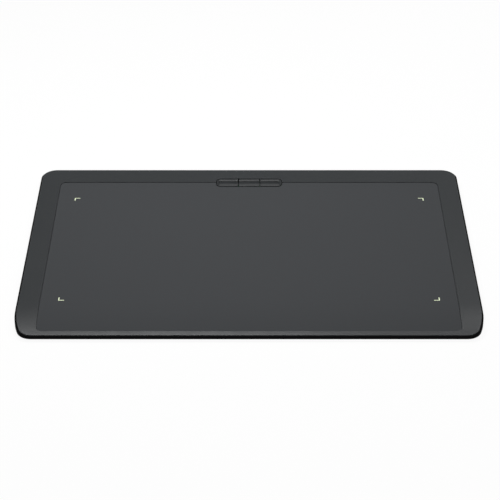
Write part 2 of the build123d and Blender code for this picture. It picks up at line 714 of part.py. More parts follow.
def board_screws():
    """Screws that hold the main board to its bosses."""
    screws = []
    for x, y in board_screw_places():
        tip_z = BOARD_TOP - BOARD_SCREW_LENGTH
        head_top = BOARD_TOP + BOARD_SCREW_HEAD_HEIGHT
        screw = post(BOARD_SCREW_R, BOARD_SCREW_LENGTH, x, y, tip_z)
        screw += post(BOARD_SCREW_HEAD_R, BOARD_SCREW_HEAD_HEIGHT, x, y, BOARD_TOP)
        screws.append(screw - cross_recess(x, y, head_top - SCREW_SLOT_DEPTH / 2, head_top))
    return Compound(children=screws)


def case_screws():
    """Screws that hold the two shells together from below."""
    screws = []
    for x, y in screw_places():
        screw = post(SCREW_HEAD_R, SCREW_HEAD_HEIGHT, x, y, SCREW_HEAD_Z)
        screw += post(SCREW_R, SCREW_TIP_Z - SCREW_SEAT_Z, x, y, SCREW_SEAT_Z)
        screws.append(screw - cross_recess(x, y, SCREW_HEAD_Z, SCREW_HEAD_Z + SCREW_SLOT_DEPTH))
    return Compound(children=screws)


def processor_chip():
    """Processor on the main board."""
    return slab(PROCESSOR_SIDE, PROCESSOR_SIDE, PROCESSOR_HEIGHT, PROCESSOR_X, BOARD_Y, BOARD_TOP)


def charger_chip():
    """Charging chip on the main board."""
    return slab(CHARGER_SIDE, CHARGER_SIDE, CHARGER_HEIGHT, CHARGER_X, BOARD_Y, BOARD_TOP)


def wireless_board():
    """Small wireless board on the main board."""
    return slab(WIRELESS_WIDTH, WIRELESS_DEPTH, WIRELESS_THICKNESS, WIRELESS_X, BOARD_Y, BOARD_TOP)


def wireless_lid():
    """Metal lid over the wireless board."""
    base_z = BOARD_TOP + WIRELESS_THICKNESS
    width = WIRELESS_WIDTH - 2 * LID_BORDER
    depth = WIRELESS_DEPTH - 2 * LID_BORDER
    lid = slab(width, depth, LID_HEIGHT, WIRELESS_X, BOARD_Y, base_z)
    inner_height = LID_HEIGHT - LID_WALL
    return lid - slab(width - 2 * LID_WALL, depth - 2 * LID_WALL, inner_height, WIRELESS_X, BOARD_Y, base_z)


def battery_y():
    """Middle of the battery along Y."""
    return SENSOR_BACK_Y - BATTERY_BACK_GAP - BATTERY_DEPTH / 2


BATTERY_Z = FLOOR_Z + BATTERY_TAPE_THICKNESS
WIRE_Z = BOARD_TOP + WIRE_HEIGHT
CURVE_MIDDLE_SHARE = 0.75
LEAD_START_Y = SENSOR_BACK_Y - BATTERY_BACK_GAP
LEAD_END_Y = BOARD_FRONT_Y + SOCKET_EDGE_GAP
LEAD_X = BATTERY_X - BATTERY_WIDTH / 2 + LEAD_INSET
LEAD_END_X = BOARD_WIDTH / 2 - LEAD_BOARD_INSET


def battery():
    """Flat battery pouch in its bay."""
    height = SHIELD_Z - BATTERY_TOP_GAP - BATTERY_Z
    pouch = slab(BATTERY_WIDTH, BATTERY_DEPTH, height, BATTERY_X, battery_y(), BATTERY_Z)
    return fillet(pouch.edges().filter_by(Axis.Y), BATTERY_EDGE_R)


def battery_tape():
    """Adhesive tape between the battery and the floor."""
    width = BATTERY_WIDTH - 2 * BATTERY_TAPE_MARGIN
    depth = BATTERY_DEPTH - 2 * BATTERY_TAPE_MARGIN
    return slab(width, depth, BATTERY_TAPE_THICKNESS, BATTERY_X, battery_y(), FLOOR_Z)


def battery_wire(side):
    """Battery wire, one smooth S from the battery to its plug."""
    length = LEAD_END_Y - LEAD_START_Y
    turn = math.atan2(2 * (LEAD_X - LEAD_END_X), length)
    shift = side * WIRE_PITCH / 2
    middle_y = LEAD_START_Y + length / 2 + shift * math.tan(turn / 2) / CURVE_MIDDLE_SHARE
    start = (LEAD_X + shift, LEAD_START_Y, WIRE_Z)
    first = (LEAD_X + shift, middle_y, WIRE_Z)
    second = (LEAD_END_X + shift, middle_y, WIRE_Z)
    end = (LEAD_END_X + shift, LEAD_END_Y, WIRE_Z)
    path = Bezier(start, first, second, end)
    return sweep(Plane(origin=start, z_dir=(0, 1, 0)) * Circle(WIRE_R), path=path)


def battery_plug():
    """Plug on the end of the battery wires."""
    base_z = WIRE_Z - PLUG_HEIGHT / 2
    return slab(PLUG_WIDTH, PLUG_DEPTH, PLUG_HEIGHT, LEAD_END_X, LEAD_END_Y + PLUG_DEPTH / 2, base_z)


def battery_socket():
    """Socket on the main board that takes the battery plug."""
    width = PLUG_WIDTH + 2 * (PLUG_GAP + PLUG_SOCKET_WALL)
    top_z = WIRE_Z + PLUG_HEIGHT / 2 + PLUG_GAP
    height = top_z - BOARD_TOP
    depth = PLUG_DEPTH + PLUG_SOCKET_WALL
    body = slab(width, depth, height, LEAD_END_X, LEAD_END_Y + depth / 2, BOARD_TOP)
    base_z = WIRE_Z - PLUG_HEIGHT / 2 - PLUG_GAP
    room_depth = 2 * (PLUG_DEPTH + PLUG_GAP)
    return body - slab(PLUG_WIDTH + 2 * PLUG_GAP, room_depth, HEIGHT, LEAD_END_X, LEAD_END_Y, base_z)


def usb_shell():
    """Metal shell of the USB-C socket, with an ear on each side that rests on the board."""
    inner_width = USB_WIDTH - 2 * USB_SKIN
    inner_height = USB_HEIGHT - 2 * USB_SKIN
    section = usb_outline(USB_WIDTH, USB_HEIGHT) - usb_outline(inner_width, inner_height)
    shell = Pos(0, USB_FRONT_Y, 0) * extrude(section, USB_LENGTH)
    ear_y = USB_BACK_Y + USB_EAR_DEPTH / 2
    inner_x = USB_WIDTH / 2 - USB_SKIN / 2
    outer_x = USB_WIDTH / 2 + USB_NOTCH_GAP + USB_EAR_WIDTH
    for side in (-1, 1):
        x = USB_X + side * (inner_x + outer_x) / 2
        shell += slab(outer_x - inner_x, USB_EAR_DEPTH, USB_SKIN, x, ear_y, BOARD_TOP)
    return shell


def usb_tongue():
    """Plastic tongue of the USB-C socket and the base that it stands on."""
    section = usb_outline(USB_WIDTH - 2 * USB_SKIN, USB_HEIGHT - 2 * USB_SKIN)
    base = Pos(0, USB_BACK_Y + TONGUE_BASE, 0) * extrude(section, TONGUE_BASE)
    length = USB_LENGTH - TONGUE_SHORT
    tongue_z = USB_Z - TONGUE_THICKNESS / 2
    tongue = slab(TONGUE_WIDTH, length, TONGUE_THICKNESS, USB_X, USB_BACK_Y + length / 2, tongue_z)
    return base + tongue


POWER_BACK_Y = INNER_BACK_Y - POWER_WALL_GAP


def power_housing():
    """Housing of the power switch on the main board."""
    middle_y = POWER_BACK_Y - POWER_DEPTH / 2
    body = slab(POWER_WIDTH, POWER_DEPTH, POWER_HEIGHT, POWER_X, middle_y, BOARD_TOP)
    width = POWER_STEM_WIDTH + POWER_TRAVEL + 2 * POWER_SLOT_GAP
    depth = 2 * (POWER_STEM_ENTRY + POWER_SLOT_GAP)
    height = POWER_STEM_HEIGHT + 2 * POWER_SLOT_GAP
    return body - slab(width, depth, height, POWER_X, POWER_BACK_Y, POWER_Z - height / 2)


def power_slider():
    """Slider of the power switch: knob in the wall, guard behind the wall and stem in the housing."""
    x = POWER_X - POWER_TRAVEL / 2
    stem_y = POWER_BACK_Y - POWER_STEM_ENTRY
    knob_y = HALF_DEPTH - POWER_KNOB_SHORT
    guard_back = INNER_BACK_Y - POWER_SLOT_GAP
    guard_front = guard_back - POWER_GUARD_THICKNESS
    stem_z = POWER_Z - POWER_STEM_HEIGHT / 2
    knob_z = POWER_Z - POWER_KNOB_HEIGHT / 2
    guard_z = POWER_Z - POWER_GUARD_HEIGHT / 2
    stem_mid = (guard_back + stem_y) / 2
    guard_mid = (guard_back + guard_front) / 2
    knob_mid = (knob_y + guard_front) / 2
    stem = slab(POWER_STEM_WIDTH, guard_back - stem_y, POWER_STEM_HEIGHT, x, stem_mid, stem_z)
    guard = slab(POWER_GUARD_WIDTH, POWER_GUARD_THICKNESS, POWER_GUARD_HEIGHT, x, guard_mid, guard_z)
    knob = slab(POWER_KNOB_WIDTH, knob_y - guard_front, POWER_KNOB_HEIGHT, x, knob_mid, knob_z)
    return knob + [guard, stem]


STATUS_LAMP_BACK_Y = BOARD_BACK_Y - STATUS_LAMP_DEPTH


def status_lamp():
    """Status lamp at the back edge of the main board."""
    y = STATUS_LAMP_BACK_Y - STATUS_LAMP_DEPTH / 2
    return slab(STATUS_LAMP_WIDTH, STATUS_LAMP_DEPTH, STATUS_LAMP_HEIGHT, STATUS_X, y, BOARD_TOP)


def status_pipe():
    """Light pipe from the status lamp through the back wall."""
    return status_bore(STATUS_PIPE_R, STATUS_LAMP_BACK_Y + STATUS_GAP, HALF_DEPTH)


def foot(x, y):
    """Rubber foot in its recess."""
    face = Pos(x, y) * RectangleRounded(FOOT_LENGTH, FOOT_WIDTH, FOOT_WIDTH / 2 - TOUCH)
    pad = prism(face, 0, UNDERSIDE_Z + FOOT_RECESS)
    return fillet(pad.edges().group_by(Axis.Z)[0], FOOT_EDGE_R)


nodes = {
    "top_shell": upper_shell(),
    "bottom_shell": lower_shell(),
    "drawing_surface": drawing_panel(),
    "surface_adhesive": panel_glue(),
    "corner_lamps": corner_lamps(),
    "sensor_board": sensor_board(),
    "shield_sheet": shield_sheet(),
    "sensor_ribbon_socket": ribbon_socket(SOCKET_FRONT_Y, SENSOR_Z - SOCKET_HEIGHT, 1),
    "main_ribbon_socket": ribbon_socket(MAIN_SOCKET_Y, BOARD_TOP, -1),
    "ribbon_cable": ribbon_cable(),
    "main_board": main_board(),
    "board_screws": board_screws(),
    "processor_chip": processor_chip(),
    "charger_chip": charger_chip(),
    "wireless_board": wireless_board(),
    "wireless_lid": wireless_lid(),
    "battery": battery(),
    "battery_tape": battery_tape(),
    "battery_wire_red": battery_wire(1),
    "battery_wire_black": battery_wire(-1),
    "battery_plug": battery_plug(),
    "battery_socket": battery_socket(),
    "usb_socket_shell": usb_shell(),
    "usb_tongue": usb_tongue(),
    "power_switch_body": power_housing(),
    "power_slider": power_slider(),
    "status_lamp": status_lamp(),
    "status_light_pipe": status_pipe(),
    "case_screws": case_screws(),
}
for name, side in CAP_SIDES.items():
    nodes["button_" + name] = button_cap(side)
    nodes["switch_body_" + name] = switch_body(side)
    nodes["switch_plunger_" + name] = switch_plunger(side)
for name, (side, end) in MARK_CORNERS.items():
    nodes["corner_light_" + name] = corner_light(side, end)
for name, (x, y) in foot_places().items():
    nodes["foot_" + name] = foot(x, y)

os.makedirs("parts", exist_ok=True)
for name, shape in nodes.items():
    export_step(shape, "parts/" + name + ".step")
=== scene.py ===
"""Looks of a graphics tablet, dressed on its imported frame.

Every sub-assembly of the tablet is a class with build and dress methods, and every
finish is a frozen dataclass that makes one procedural material. Lengths are metres in
the frame's own axes: X to the right, Y to the back, Z up.
"""

import logging
import math
from collections.abc import Iterable
from dataclasses import dataclass, field
from enum import Enum
from functools import cache
from typing import ClassVar

import bmesh
import bpy
from mathutils import Matrix, Vector


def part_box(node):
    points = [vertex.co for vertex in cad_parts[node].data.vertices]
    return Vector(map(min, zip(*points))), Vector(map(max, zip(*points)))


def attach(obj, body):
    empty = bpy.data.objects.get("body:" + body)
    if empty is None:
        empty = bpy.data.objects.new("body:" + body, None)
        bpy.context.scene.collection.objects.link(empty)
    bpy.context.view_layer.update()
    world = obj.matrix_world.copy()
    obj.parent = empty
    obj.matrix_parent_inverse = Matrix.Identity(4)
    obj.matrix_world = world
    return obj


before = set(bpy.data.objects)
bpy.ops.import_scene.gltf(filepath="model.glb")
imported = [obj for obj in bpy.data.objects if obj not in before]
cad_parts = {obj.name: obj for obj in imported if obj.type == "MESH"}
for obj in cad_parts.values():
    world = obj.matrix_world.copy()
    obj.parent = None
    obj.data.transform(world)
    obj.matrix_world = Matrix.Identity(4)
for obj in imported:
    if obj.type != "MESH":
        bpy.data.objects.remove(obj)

LOG = logging.getLogger("tablet")
MM = 0.001
CASE = "case"
WHITE = (1.0, 1.0, 1.0)
BOTH_SIDES = (-1, 1)
WELD = 1e-7
FLOOR_WELD = 1e-5
LEVEL = 1e-9
SHARP_EDGE = math.radians(35.0)
NOISE_LOW, NOISE_HIGH = 0.3, 0.7

Colour = tuple[float, float, float]
Point = tuple[float, float, float]
Socket = bpy.types.NodeSocket
Outputs = bpy.types.NodeOutputs
Value = Socket | float | tuple[float, ...]
Feeds = dict[str | int, Value]


class Corner(Enum):
    """The four corners of the active area, as the frame names them."""

    BACK_LEFT = "back_left"
    BACK_RIGHT = "back_right"
    FRONT_LEFT = "front_left"
    FRONT_RIGHT = "front_right"


class Key(Enum):
    """The three buttons, as the frame names them."""

    LEFT = "left"
    MIDDLE = "middle"
    RIGHT = "right"


class Run(Enum):
    """The way a small part lies on the main board."""

    ACROSS = "across"
    ALONG = "along"

    def lay(self, length: float, width: float) -> tuple[float, float]:
        """Gives a length and a width as X and Y, for a part that lies this way."""
        return (length, width) if self is Run.ACROSS else (width, length)


# Node trees


def shade(colour: Colour, share: float) -> Colour:
    """Gives a colour made lighter or darker by a share."""
    return tuple(channel * share for channel in colour)


class Tree:
    """Adds and joins nodes in one node tree.

    Attributes:
        tree: The node tree.
        goal: The node that the tree leads to.
        given: Outputs of the node that it starts from, if it has one.
    """

    def __init__(self, tree: bpy.types.NodeTree, goal: str, start: str = "") -> None:
        """Starts on an emptied tree.

        Args:
            tree: The material's, group's or world's node tree.
            goal: Type name of the node that it leads to.
            start: Type name of the node that it starts from, if it has one.
        """
        self.tree = tree
        self.tree.nodes.clear()
        self.goal = self.add(goal)
        self.given = self.add(start).outputs if start else None

    def add(self, kind: str, feeds: Feeds | None = None, **settings: object) -> bpy.types.Node:
        """Adds a node.

        Args:
            kind: The node's type name, without the word ShaderNode.
            feeds: What each input gets, by the input's name or index.
            **settings: The node's own settings, such as operation or data_type.

        Returns:
            The new node.
        """
        prefix = "" if kind.startswith("Node") else "ShaderNode"
        node = self.tree.nodes.new(prefix + kind)
        for name, value in settings.items():
            setattr(node, name, value)
        for name, value in (feeds or {}).items():
            self.feed(node.inputs[name], value)
        return node

    def feed(self, target: Socket, value: Value) -> None:
        """Links an output to an input, or sets the input to a plain value.

        Args:
            target: The input.
            value: Another node's output, a number, a colour or a vector.
        """
        if isinstance(value, Socket):
            self.tree.links.new(value, target)
        else:
            target.default_value = (*value, 1.0) if target.type == "RGBA" else value

    def give(self, **values: Value) -> None:
        """Feeds the inputs of the tree's goal by their names, with _ for a space."""
        for name, value in values.items():
            self.feed(self.goal.inputs[name.replace("_", " ")], value)

    def math(self, operation: str, *values: Value) -> Socket:
        """Gives the result of a Math node, fed in order."""
        return self.add("Math", dict(enumerate(values)), operation=operation).outputs["Value"]

    def times(self, first: Value, second: Value) -> Socket:
        """Gives the product of two values."""
        return self.math("MULTIPLY", first, second)

    def vector(self, operation: str, *values: Value) -> Socket:
        """Gives the result of a Vector Math node, fed in order."""
        return self.add("VectorMath", dict(enumerate(values)), operation=operation).outputs["Vector"]

    def axes(self, place: Socket) -> Outputs:
        """Gives the X, Y and Z of a vector."""
        return self.add("SeparateXYZ", {"Vector": place}).outputs

    def ramp(self, value: Value, low: float, high: float, start: float = 0.0, end: float = 1.0) -> Socket:
        """Maps a value smoothly from the range of low to high to the range of start to end."""
        feeds = {"Value": value, "From Min": low, "From Max": high, "To Min": start, "To Max": end}
        return self.add("MapRange", feeds, interpolation_type="SMOOTHSTEP").outputs["Result"]

    def vary(self, mask: Value, average: float, spread: float) -> Socket:
        """Gives a value that follows a noise, from a spread below its average to a spread above."""
        return self.ramp(mask, NOISE_LOW, NOISE_HIGH, average - spread, average + spread)

    def noise(self, place: Socket, scale: Value, detail: float = 2.0, roughness: float = 0.5) -> Socket:
        """Gives a noise of about 0.5 on average, whose scale is in spots per metre."""
        feeds = {"Vector": place, "Scale": scale, "Detail": detail, "Roughness": roughness}
        return self.add("TexNoise", feeds).outputs["Fac"]

    def blend(self, factor: Value, first: Value, second: Value) -> Socket:
        """Gives the first colour where a factor is 0 and the second where it is 1."""
        feeds = {"Factor": factor, "A": first, "B": second}
        return self.add("Mix", feeds, data_type="RGBA").outputs["Result"]

    def tones(self, factor: Value, colour: Colour, low: float, high: float) -> Socket:
        """Gives one share of a colour where a factor is 0 and another share where it is 1."""
        return self.blend(factor, shade(colour, low), shade(colour, high))


class EffectGroup:
    """A shader node group with named inputs and outputs, built once and used by many finishes.

    Attributes:
        name: The group's name.
        inputs: Start value of each input, or None for coordinates.
        outputs: Names of its outputs, which are all plain numbers.
    """

    name: ClassVar[str]
    inputs: ClassVar[dict[str, float | Point | None]]
    outputs: ClassVar[tuple[str, ...]]

    def group(self) -> bpy.types.NodeTree:
        """Gives the group, and builds it the first time.

        Returns:
            The node group.
        """
        found = bpy.data.node_groups.get(self.name)
        if found is not None:
            return found
        made = bpy.data.node_groups.new(self.name, "ShaderNodeTree")
        for name, start in self.inputs.items():
            kind = "NodeSocketFloat" if isinstance(start, float) else "NodeSocketVector"
            socket = made.interface.new_socket(name=name, in_out="INPUT", socket_type=kind)
            if start is not None:
                socket.default_value = start
        for name in self.outputs:
            made.interface.new_socket(name=name, in_out="OUTPUT", socket_type="NodeSocketFloat")
        self.fill(Tree(made, "NodeGroupOutput", "NodeGroupInput"))
        return made

    def fill(self, tree: Tree) -> None:
        """Builds the inside of the group in its tree."""
        raise NotImplementedError

    def place(self, tree: Tree, **values: Value) -> Outputs:
        """Places the group in a material and feeds its inputs by their names."""
        return tree.add("Group", values, node_tree=self.group()).outputs


class MouldGrain(EffectGroup):
    """Fine spark-eroded grain of a moulded shell, with a faint large-scale drift of its tone.

    Attributes:
        fineness: Times that the fine noise's scale is the pits' scale.
        pit_share: Share of the relief that is pits.
        quickness: Times that the sheen varies quicker than the tone.
    """

    name = "mould_grain"
    inputs = {"Place": None, "Grains": 2600.0, "Drift": 14.0}
    outputs = ("Height", "Tone", "Sheen")
    fineness = 1.7
    pit_share = 0.6
    quickness = 4.3

    def fill(self, tree: Tree) -> None:
        """Builds pits between soft grains, and two slow noises.

        Args:
            tree: The group's tree.
        """
        place, grains, drift = tree.given["Place"], tree.given["Grains"], tree.given["Drift"]
        cells = tree.add("TexVoronoi", {"Vector": place, "Scale": grains}, feature="SMOOTH_F1")
        fine = tree.noise(place, tree.times(grains, self.fineness), detail=3.0, roughness=0.6)
        pits = tree.times(cells.outputs["Distance"], self.pit_share)
        tree.give(
            Height=tree.math("ADD", pits, tree.times(fine, 1.0 - self.pit_share)),
            Tone=tree.noise(place, drift, detail=3.0, roughness=0.55),
            Sheen=tree.noise(place, tree.times(drift, self.quickness)),
        )


class PaperGrain(EffectGroup):
    """Paper-like tooth of the drawing film: short crossed fibres over a fine grit.

    Attributes:
        squeeze: Share of the noise's fineness kept along a fibre, which draws it out that way.
        coarseness: Share of the grit's grains per metre that the fibres have.
        grit_share: Share of the relief that is grit.
    """

    name = "paper_grain"
    inputs = {"Place": None, "Tooth": 5200.0}
    outputs = ("Height", "Fleck", "Tone")
    squeeze = 0.22
    coarseness = 0.55
    grit_share = 0.65

    def fill(self, tree: Tree) -> None:
        """Builds grit, and fibres as noise stretched along both axes.

        Args:
            tree: The group's tree.
        """
        place, tooth = tree.given["Place"], tree.given["Tooth"]
        grit = tree.noise(place, tooth, detail=4.0, roughness=0.65)
        along = tree.vector("MULTIPLY", place, (1.0, self.squeeze, 1.0))
        across = tree.vector("MULTIPLY", place, (self.squeeze, 1.0, 1.0))
        slow = tree.times(tooth, self.coarseness)
        fibres = tree.math("MAXIMUM", tree.noise(along, slow), tree.noise(across, slow))
        rough, drawn = tree.times(grit, self.grit_share), tree.times(fibres, 1.0 - self.grit_share)
        tree.give(
            Height=tree.math("ADD", rough, drawn),
            Fleck=tree.ramp(grit, low=0.62, high=0.78),
            Tone=tree.noise(place, scale=11.0, detail=3.0),
        )


class RimPolish(EffectGroup):
    """Mask that rises towards the case's outline, where hands polish the shell a little."""

    name = "rim_polish"
    inputs = {"Place": None, "Half Width": 0.16, "Half Depth": 0.1166, "Corner": 0.0125, "Reach": 0.004}
    outputs = ("Mask",)

    def fill(self, tree: Tree) -> None:
        """Builds the distance to a rounded rectangle, broken up by a little noise.

        Args:
            tree: The group's tree.
        """
        place, corner = tree.given["Place"], tree.given["Corner"]
        axes = tree.axes(place)
        beyond = []
        for axis, half in (("X", "Half Width"), ("Y", "Half Depth")):
            inner = tree.math("SUBTRACT", tree.given[half], corner)
            beyond.append(tree.math("SUBTRACT", tree.math("ABSOLUTE", axes[axis]), inner))
        outside = [tree.math("MAXIMUM", value, 0.0) for value in beyond]
        squares = [tree.times(value, value) for value in outside]
        far = tree.math("SQRT", tree.math("ADD", *squares))
        near = tree.math("MINIMUM", tree.math("MAXIMUM", *beyond), 0.0)
        inward = tree.math("SUBTRACT", corner, tree.math("ADD", far, near))
        mask = tree.ramp(tree.math("DIVIDE", inward, tree.given["Reach"]), low=1.0, high=0.0)
        patches = tree.noise(place, scale=60.0, detail=3.0, roughness=0.6)
        broken = tree.ramp(patches, NOISE_LOW, NOISE_HIGH, start=0.55, end=1.0)
        tree.give(Mask=tree.times(mask, broken))


class DrawnLines(EffectGroup):
    """Fine lines that a tool or rollers leave in metal, along one direction."""

    name = "drawn_lines"
    inputs = {"Place": None, "Lines": 9000.0, "Stretch": (0.03, 1.0, 1.0)}
    outputs = ("Height", "Tone")

    def fill(self, tree: Tree) -> None:
        """Builds noise that is stretched along the lines.

        Args:
            tree: The group's tree.
        """
        drawn = tree.vector("MULTIPLY", tree.given["Place"], tree.given["Stretch"])
        lines = tree.given["Lines"]
        tree.give(
            Height=tree.noise(drawn, lines, detail=3.0, roughness=0.6),
            Tone=tree.noise(drawn, tree.times(lines, 0.15)),
        )


class BoardTracks(EffectGroup):
    """Copper tracks under solder mask: short runs that change direction from field to field, and vias.

    Attributes:
        seeds: Stretch of a field's corner, so that every field gets a chance of its own.
        crosswise: Chance above which a field's tracks stand side by side along X, and below it along Y.
        covered: Chance up to which a field has tracks at all.
    """

    name = "board_tracks"
    inputs = {"Place": None, "Pitch": 0.0006, "Fields": 8.0}
    outputs = ("Track", "Via", "Height")
    seeds = (913.0, 571.0, 0.0)
    crosswise = 0.5
    covered = 0.78

    def fill(self, tree: Tree) -> None:
        """Builds stripes on two axes and chooses one of them in each field.

        Args:
            tree: The group's tree.
        """
        place, pitch = tree.given["Place"], tree.given["Pitch"]
        axes = tree.axes(place)
        lines = [tree.ramp(off_centre(tree, axes[axis], pitch), low=0.22, high=0.16) for axis in ("X", "Y")]
        width = tree.times(pitch, tree.given["Fields"])
        steps = tree.add("CombineXYZ", {"X": width, "Y": width, "Z": width})
        corner = tree.vector("SNAP", place, steps.outputs["Vector"])
        seed = tree.vector("MULTIPLY", corner, self.seeds)
        chance = tree.add("TexWhiteNoise", {"Vector": seed}).outputs["Value"]
        pick = tree.math("GREATER_THAN", chance, self.crosswise)
        rest = tree.math("SUBTRACT", 1.0, pick)
        chosen = tree.math("ADD", tree.times(lines[0], pick), tree.times(lines[1], rest))
        track = tree.times(chosen, tree.math("LESS_THAN", chance, self.covered))
        spots = tree.add("TexVoronoi", {"Vector": place, "Scale": 260.0}, feature="F1")
        via = tree.ramp(spots.outputs["Distance"], low=0.11, high=0.07)
        tree.give(Track=track, Via=via, Height=tree.math("MAXIMUM", track, via))


class EvenLines(EffectGroup):
    """Parallel lines at a steady pitch along one axis, such as a ribbon's conductors.

    Attributes:
        softness: How far a line's edge fades to each side, as a share of the pitch.
    """

    name = "even_lines"
    inputs = {"Along": 0.0, "Pitch": 0.001, "Width": 0.3}
    outputs = ("Line",)
    softness = 0.04

    def fill(self, tree: Tree) -> None:
        """Builds one soft-edged stripe per pitch.

        Args:
            tree: The group's tree.
        """
        half = tree.times(tree.given["Width"], 0.5)
        inside = tree.math("SUBTRACT", half, off_centre(tree, tree.given["Along"], tree.given["Pitch"]))
        tree.give(Line=tree.ramp(inside, -self.softness, self.softness))


def off_centre(tree: Tree, along: Socket, pitch: Socket) -> Socket:
    """Gives how far a place is from the middle of its step: 0 there and 0.5 at the step's ends."""
    step = tree.math("FRACT", tree.math("DIVIDE", along, pitch))
    return tree.math("ABSOLUTE", tree.math("SUBTRACT", step, 0.5))


# Finishes


class Surface(Tree):
    """The nodes of one material, which lead to a Principled BSDF.

    Attributes:
        place: Object coordinates.
    """

    def __init__(self, material: bpy.types.Material) -> None:
        """Starts on a new material.

        Args:
            material: The material.
        """
        material.use_nodes = True
        super().__init__(material.node_tree, "BsdfPrincipled", "TexCoord")
        self.add("OutputMaterial", {"Surface": self.goal.outputs["BSDF"]})
        self.place = self.given["Object"]

    def grain(self, grains: float, drift: float) -> Outputs:
        """Places a moulded grain, with its grains and its drift's spots per metre."""
        return MouldGrain().place(self, Place=self.place, Grains=grains, Drift=drift)

    def relief(self, height: Socket, depth: float) -> None:
        """Bends the shader's normal by a height from 0 to 1 and a depth in metres."""
        bump = self.add("Bump", {"Distance": depth, "Height": height})
        self.give(Normal=bump.outputs["Normal"])


@dataclass(frozen=True)
class Finish:
    """A surface finish that makes one procedural material.

    Attributes:
        name: The material's name.
        slot: The record's material slot that it belongs to; not used by this script.
        colour: Base colour.
        roughness: Average roughness.
        specular: Specular level, 0.5 for an ordinary glossy plastic.
        depth: Depth of its relief, in metres.
    """

    name: str
    slot: str
    colour: Colour
    roughness: float
    specular: float
    depth: float = 0.000003

    @cache
    def material(self) -> bpy.types.Material:
        """Makes the finish's material the first time, and gives the same one after that.

        Returns:
            The material.
        """
        made = bpy.data.materials.new(self.name)
        made.diffuse_color = (*self.colour, 1.0)
        tree = Surface(made)
        tree.give(Base_Color=self.colour, Roughness=self.roughness, Specular_IOR_Level=self.specular)
        self.fill(tree)
        return made

    def fill(self, tree: Surface) -> None:
        """Adds the finish's own nodes to the material's tree."""
        raise NotImplementedError

    def dress(self, piece: bpy.types.Object) -> None:
        """Gives the finish to a piece, in every slot that it has.

        Args:
            piece: The piece.
        """
        material = self.material()
        if not piece.material_slots:
            piece.data.materials.append(material)
        for place in piece.material_slots:
            place.material = material


@dataclass(frozen=True)
class ShellPlastic(Finish):
    """Moulded shell plastic with a spark-eroded grain and a rim that hands polish a little.

    Attributes:
        grains: Grains per metre.
        drift: Share by which the tone drifts over the shell.
        polish: Roughness that the rim loses.
        shine: Share of a lighter tone that the rim takes on.
        underside_painted_lift: Times that the tone is as light on the underside, where the texture is
            coarser; this lighter tone is painted light, for a face that the lamps hardly reach.
        sole_spread: Share by which the underside's tone varies.
        sole_line: Height up to which that coarser texture reaches, in metres.
    """

    grains: float = 2600.0
    depth: float = 0.000006
    drift: float = 0.03
    polish: float = 0.05
    shine: float = 0.3
    underside_painted_lift: float = 1.0
    sole_spread: float = 0.2
    sole_line: float = 0.00075

    def fill(self, tree: Surface) -> None:
        """Adds grain, drift of tone, rim polish and the coarser underside, whose lighter tone is painted
        light.

        Args:
            tree: The material's nodes.
        """
        grain = tree.grain(self.grains, drift=14.0)
        rim = RimPolish().place(tree, Place=tree.place)["Mask"]
        tone = tree.tones(grain["Tone"], self.colour, 1.0 - self.drift, 1.0 + self.drift)
        colour = tree.blend(tree.times(rim, self.shine), tone, shade(self.colour, share=1.1))
        # Painted light: below sole_line the tone is made lighter, standing in for light that hardly reaches
        # the underside.
        height = tree.axes(tree.place)["Z"]
        under = tree.ramp(height, self.sole_line, self.sole_line * 1.2, start=1.0, end=0.0)
        dark, light = self.underside_painted_lift * (1.0 - self.sole_spread), self.underside_painted_lift * (1.0 + self.sole_spread)
        lifted_underside_tone = tree.tones(grain["Sheen"], self.colour, dark, light)
        sheen = tree.vary(grain["Sheen"], self.roughness, spread=0.02)
        worn = tree.times(rim, self.polish)
        tree.give(
            Base_Color=tree.blend(under, colour, lifted_underside_tone), Roughness=tree.math("SUBTRACT", sheen, worn)
        )
        tree.relief(grain["Height"], self.depth)


@dataclass(frozen=True)
class DrawingFilm(Finish):
    """Matt film with a paper-like tooth.

    Attributes:
        tooth: Grains per metre.
        flecks: Share of a lighter tone that the flecks take on.
    """

    tooth: float = 5200.0
    flecks: float = 0.25
    depth: float = 0.000004

    def fill(self, tree: Surface) -> None:
        """Adds tooth, pale flecks and a faint drift of tone.

        Args:
            tree: The material's nodes.
        """
        paper = PaperGrain().place(tree, Place=tree.place, Tooth=self.tooth)
        tone = tree.tones(paper["Tone"], self.colour, low=0.985, high=1.015)
        fleck = tree.times(paper["Fleck"], self.flecks)
        tree.give(
            Base_Color=tree.blend(fleck, tone, shade(self.colour, share=1.25)),
            Roughness=tree.ramp(
                paper["Height"], low=0.35, high=0.65, start=self.roughness + 0.05, end=self.roughness - 0.05
            ),
        )
        tree.relief(paper["Height"], self.depth)


@dataclass(frozen=True)
class LitGuide(Finish):
    """Milky light guide, lit from below.

    Attributes:
        glow: Colour that it gives out.
    """

    glow: Colour = (0.60, 0.68, 0.45)

    def fill(self, tree: Surface) -> None:
        """Adds frosting and a glow that is slightly uneven.

        Args:
            tree: The material's nodes.
        """
        grain = tree.grain(grains=3200.0, drift=420.0)
        tree.give(
            Emission_Color=tree.tones(grain["Tone"], self.glow, low=0.94, high=1.04),
            Emission_Strength=1.0,
            Base_Color=tree.tones(grain["Sheen"], self.colour, low=0.96, high=1.04),
        )
        tree.relief(grain["Height"], self.depth)


@dataclass(frozen=True)
class ClearPipe(Finish):
    """Clear acrylic light pipe with a polished end.

    Attributes:
        index: Index of refraction.
    """

    index: float = 1.49
    depth: float = 0.000002

    def fill(self, tree: Surface) -> None:
        """Adds faint moulding ripples to clear plastic.

        Args:
            tree: The material's nodes.
        """
        grain = tree.grain(grains=900.0, drift=300.0)
        rough = tree.ramp(grain["Sheen"], NOISE_LOW, NOISE_HIGH, self.roughness, self.roughness + 0.06)
        tree.give(Transmission_Weight=1.0, IOR=self.index, Roughness=rough)
        tree.relief(grain["Height"], self.depth)


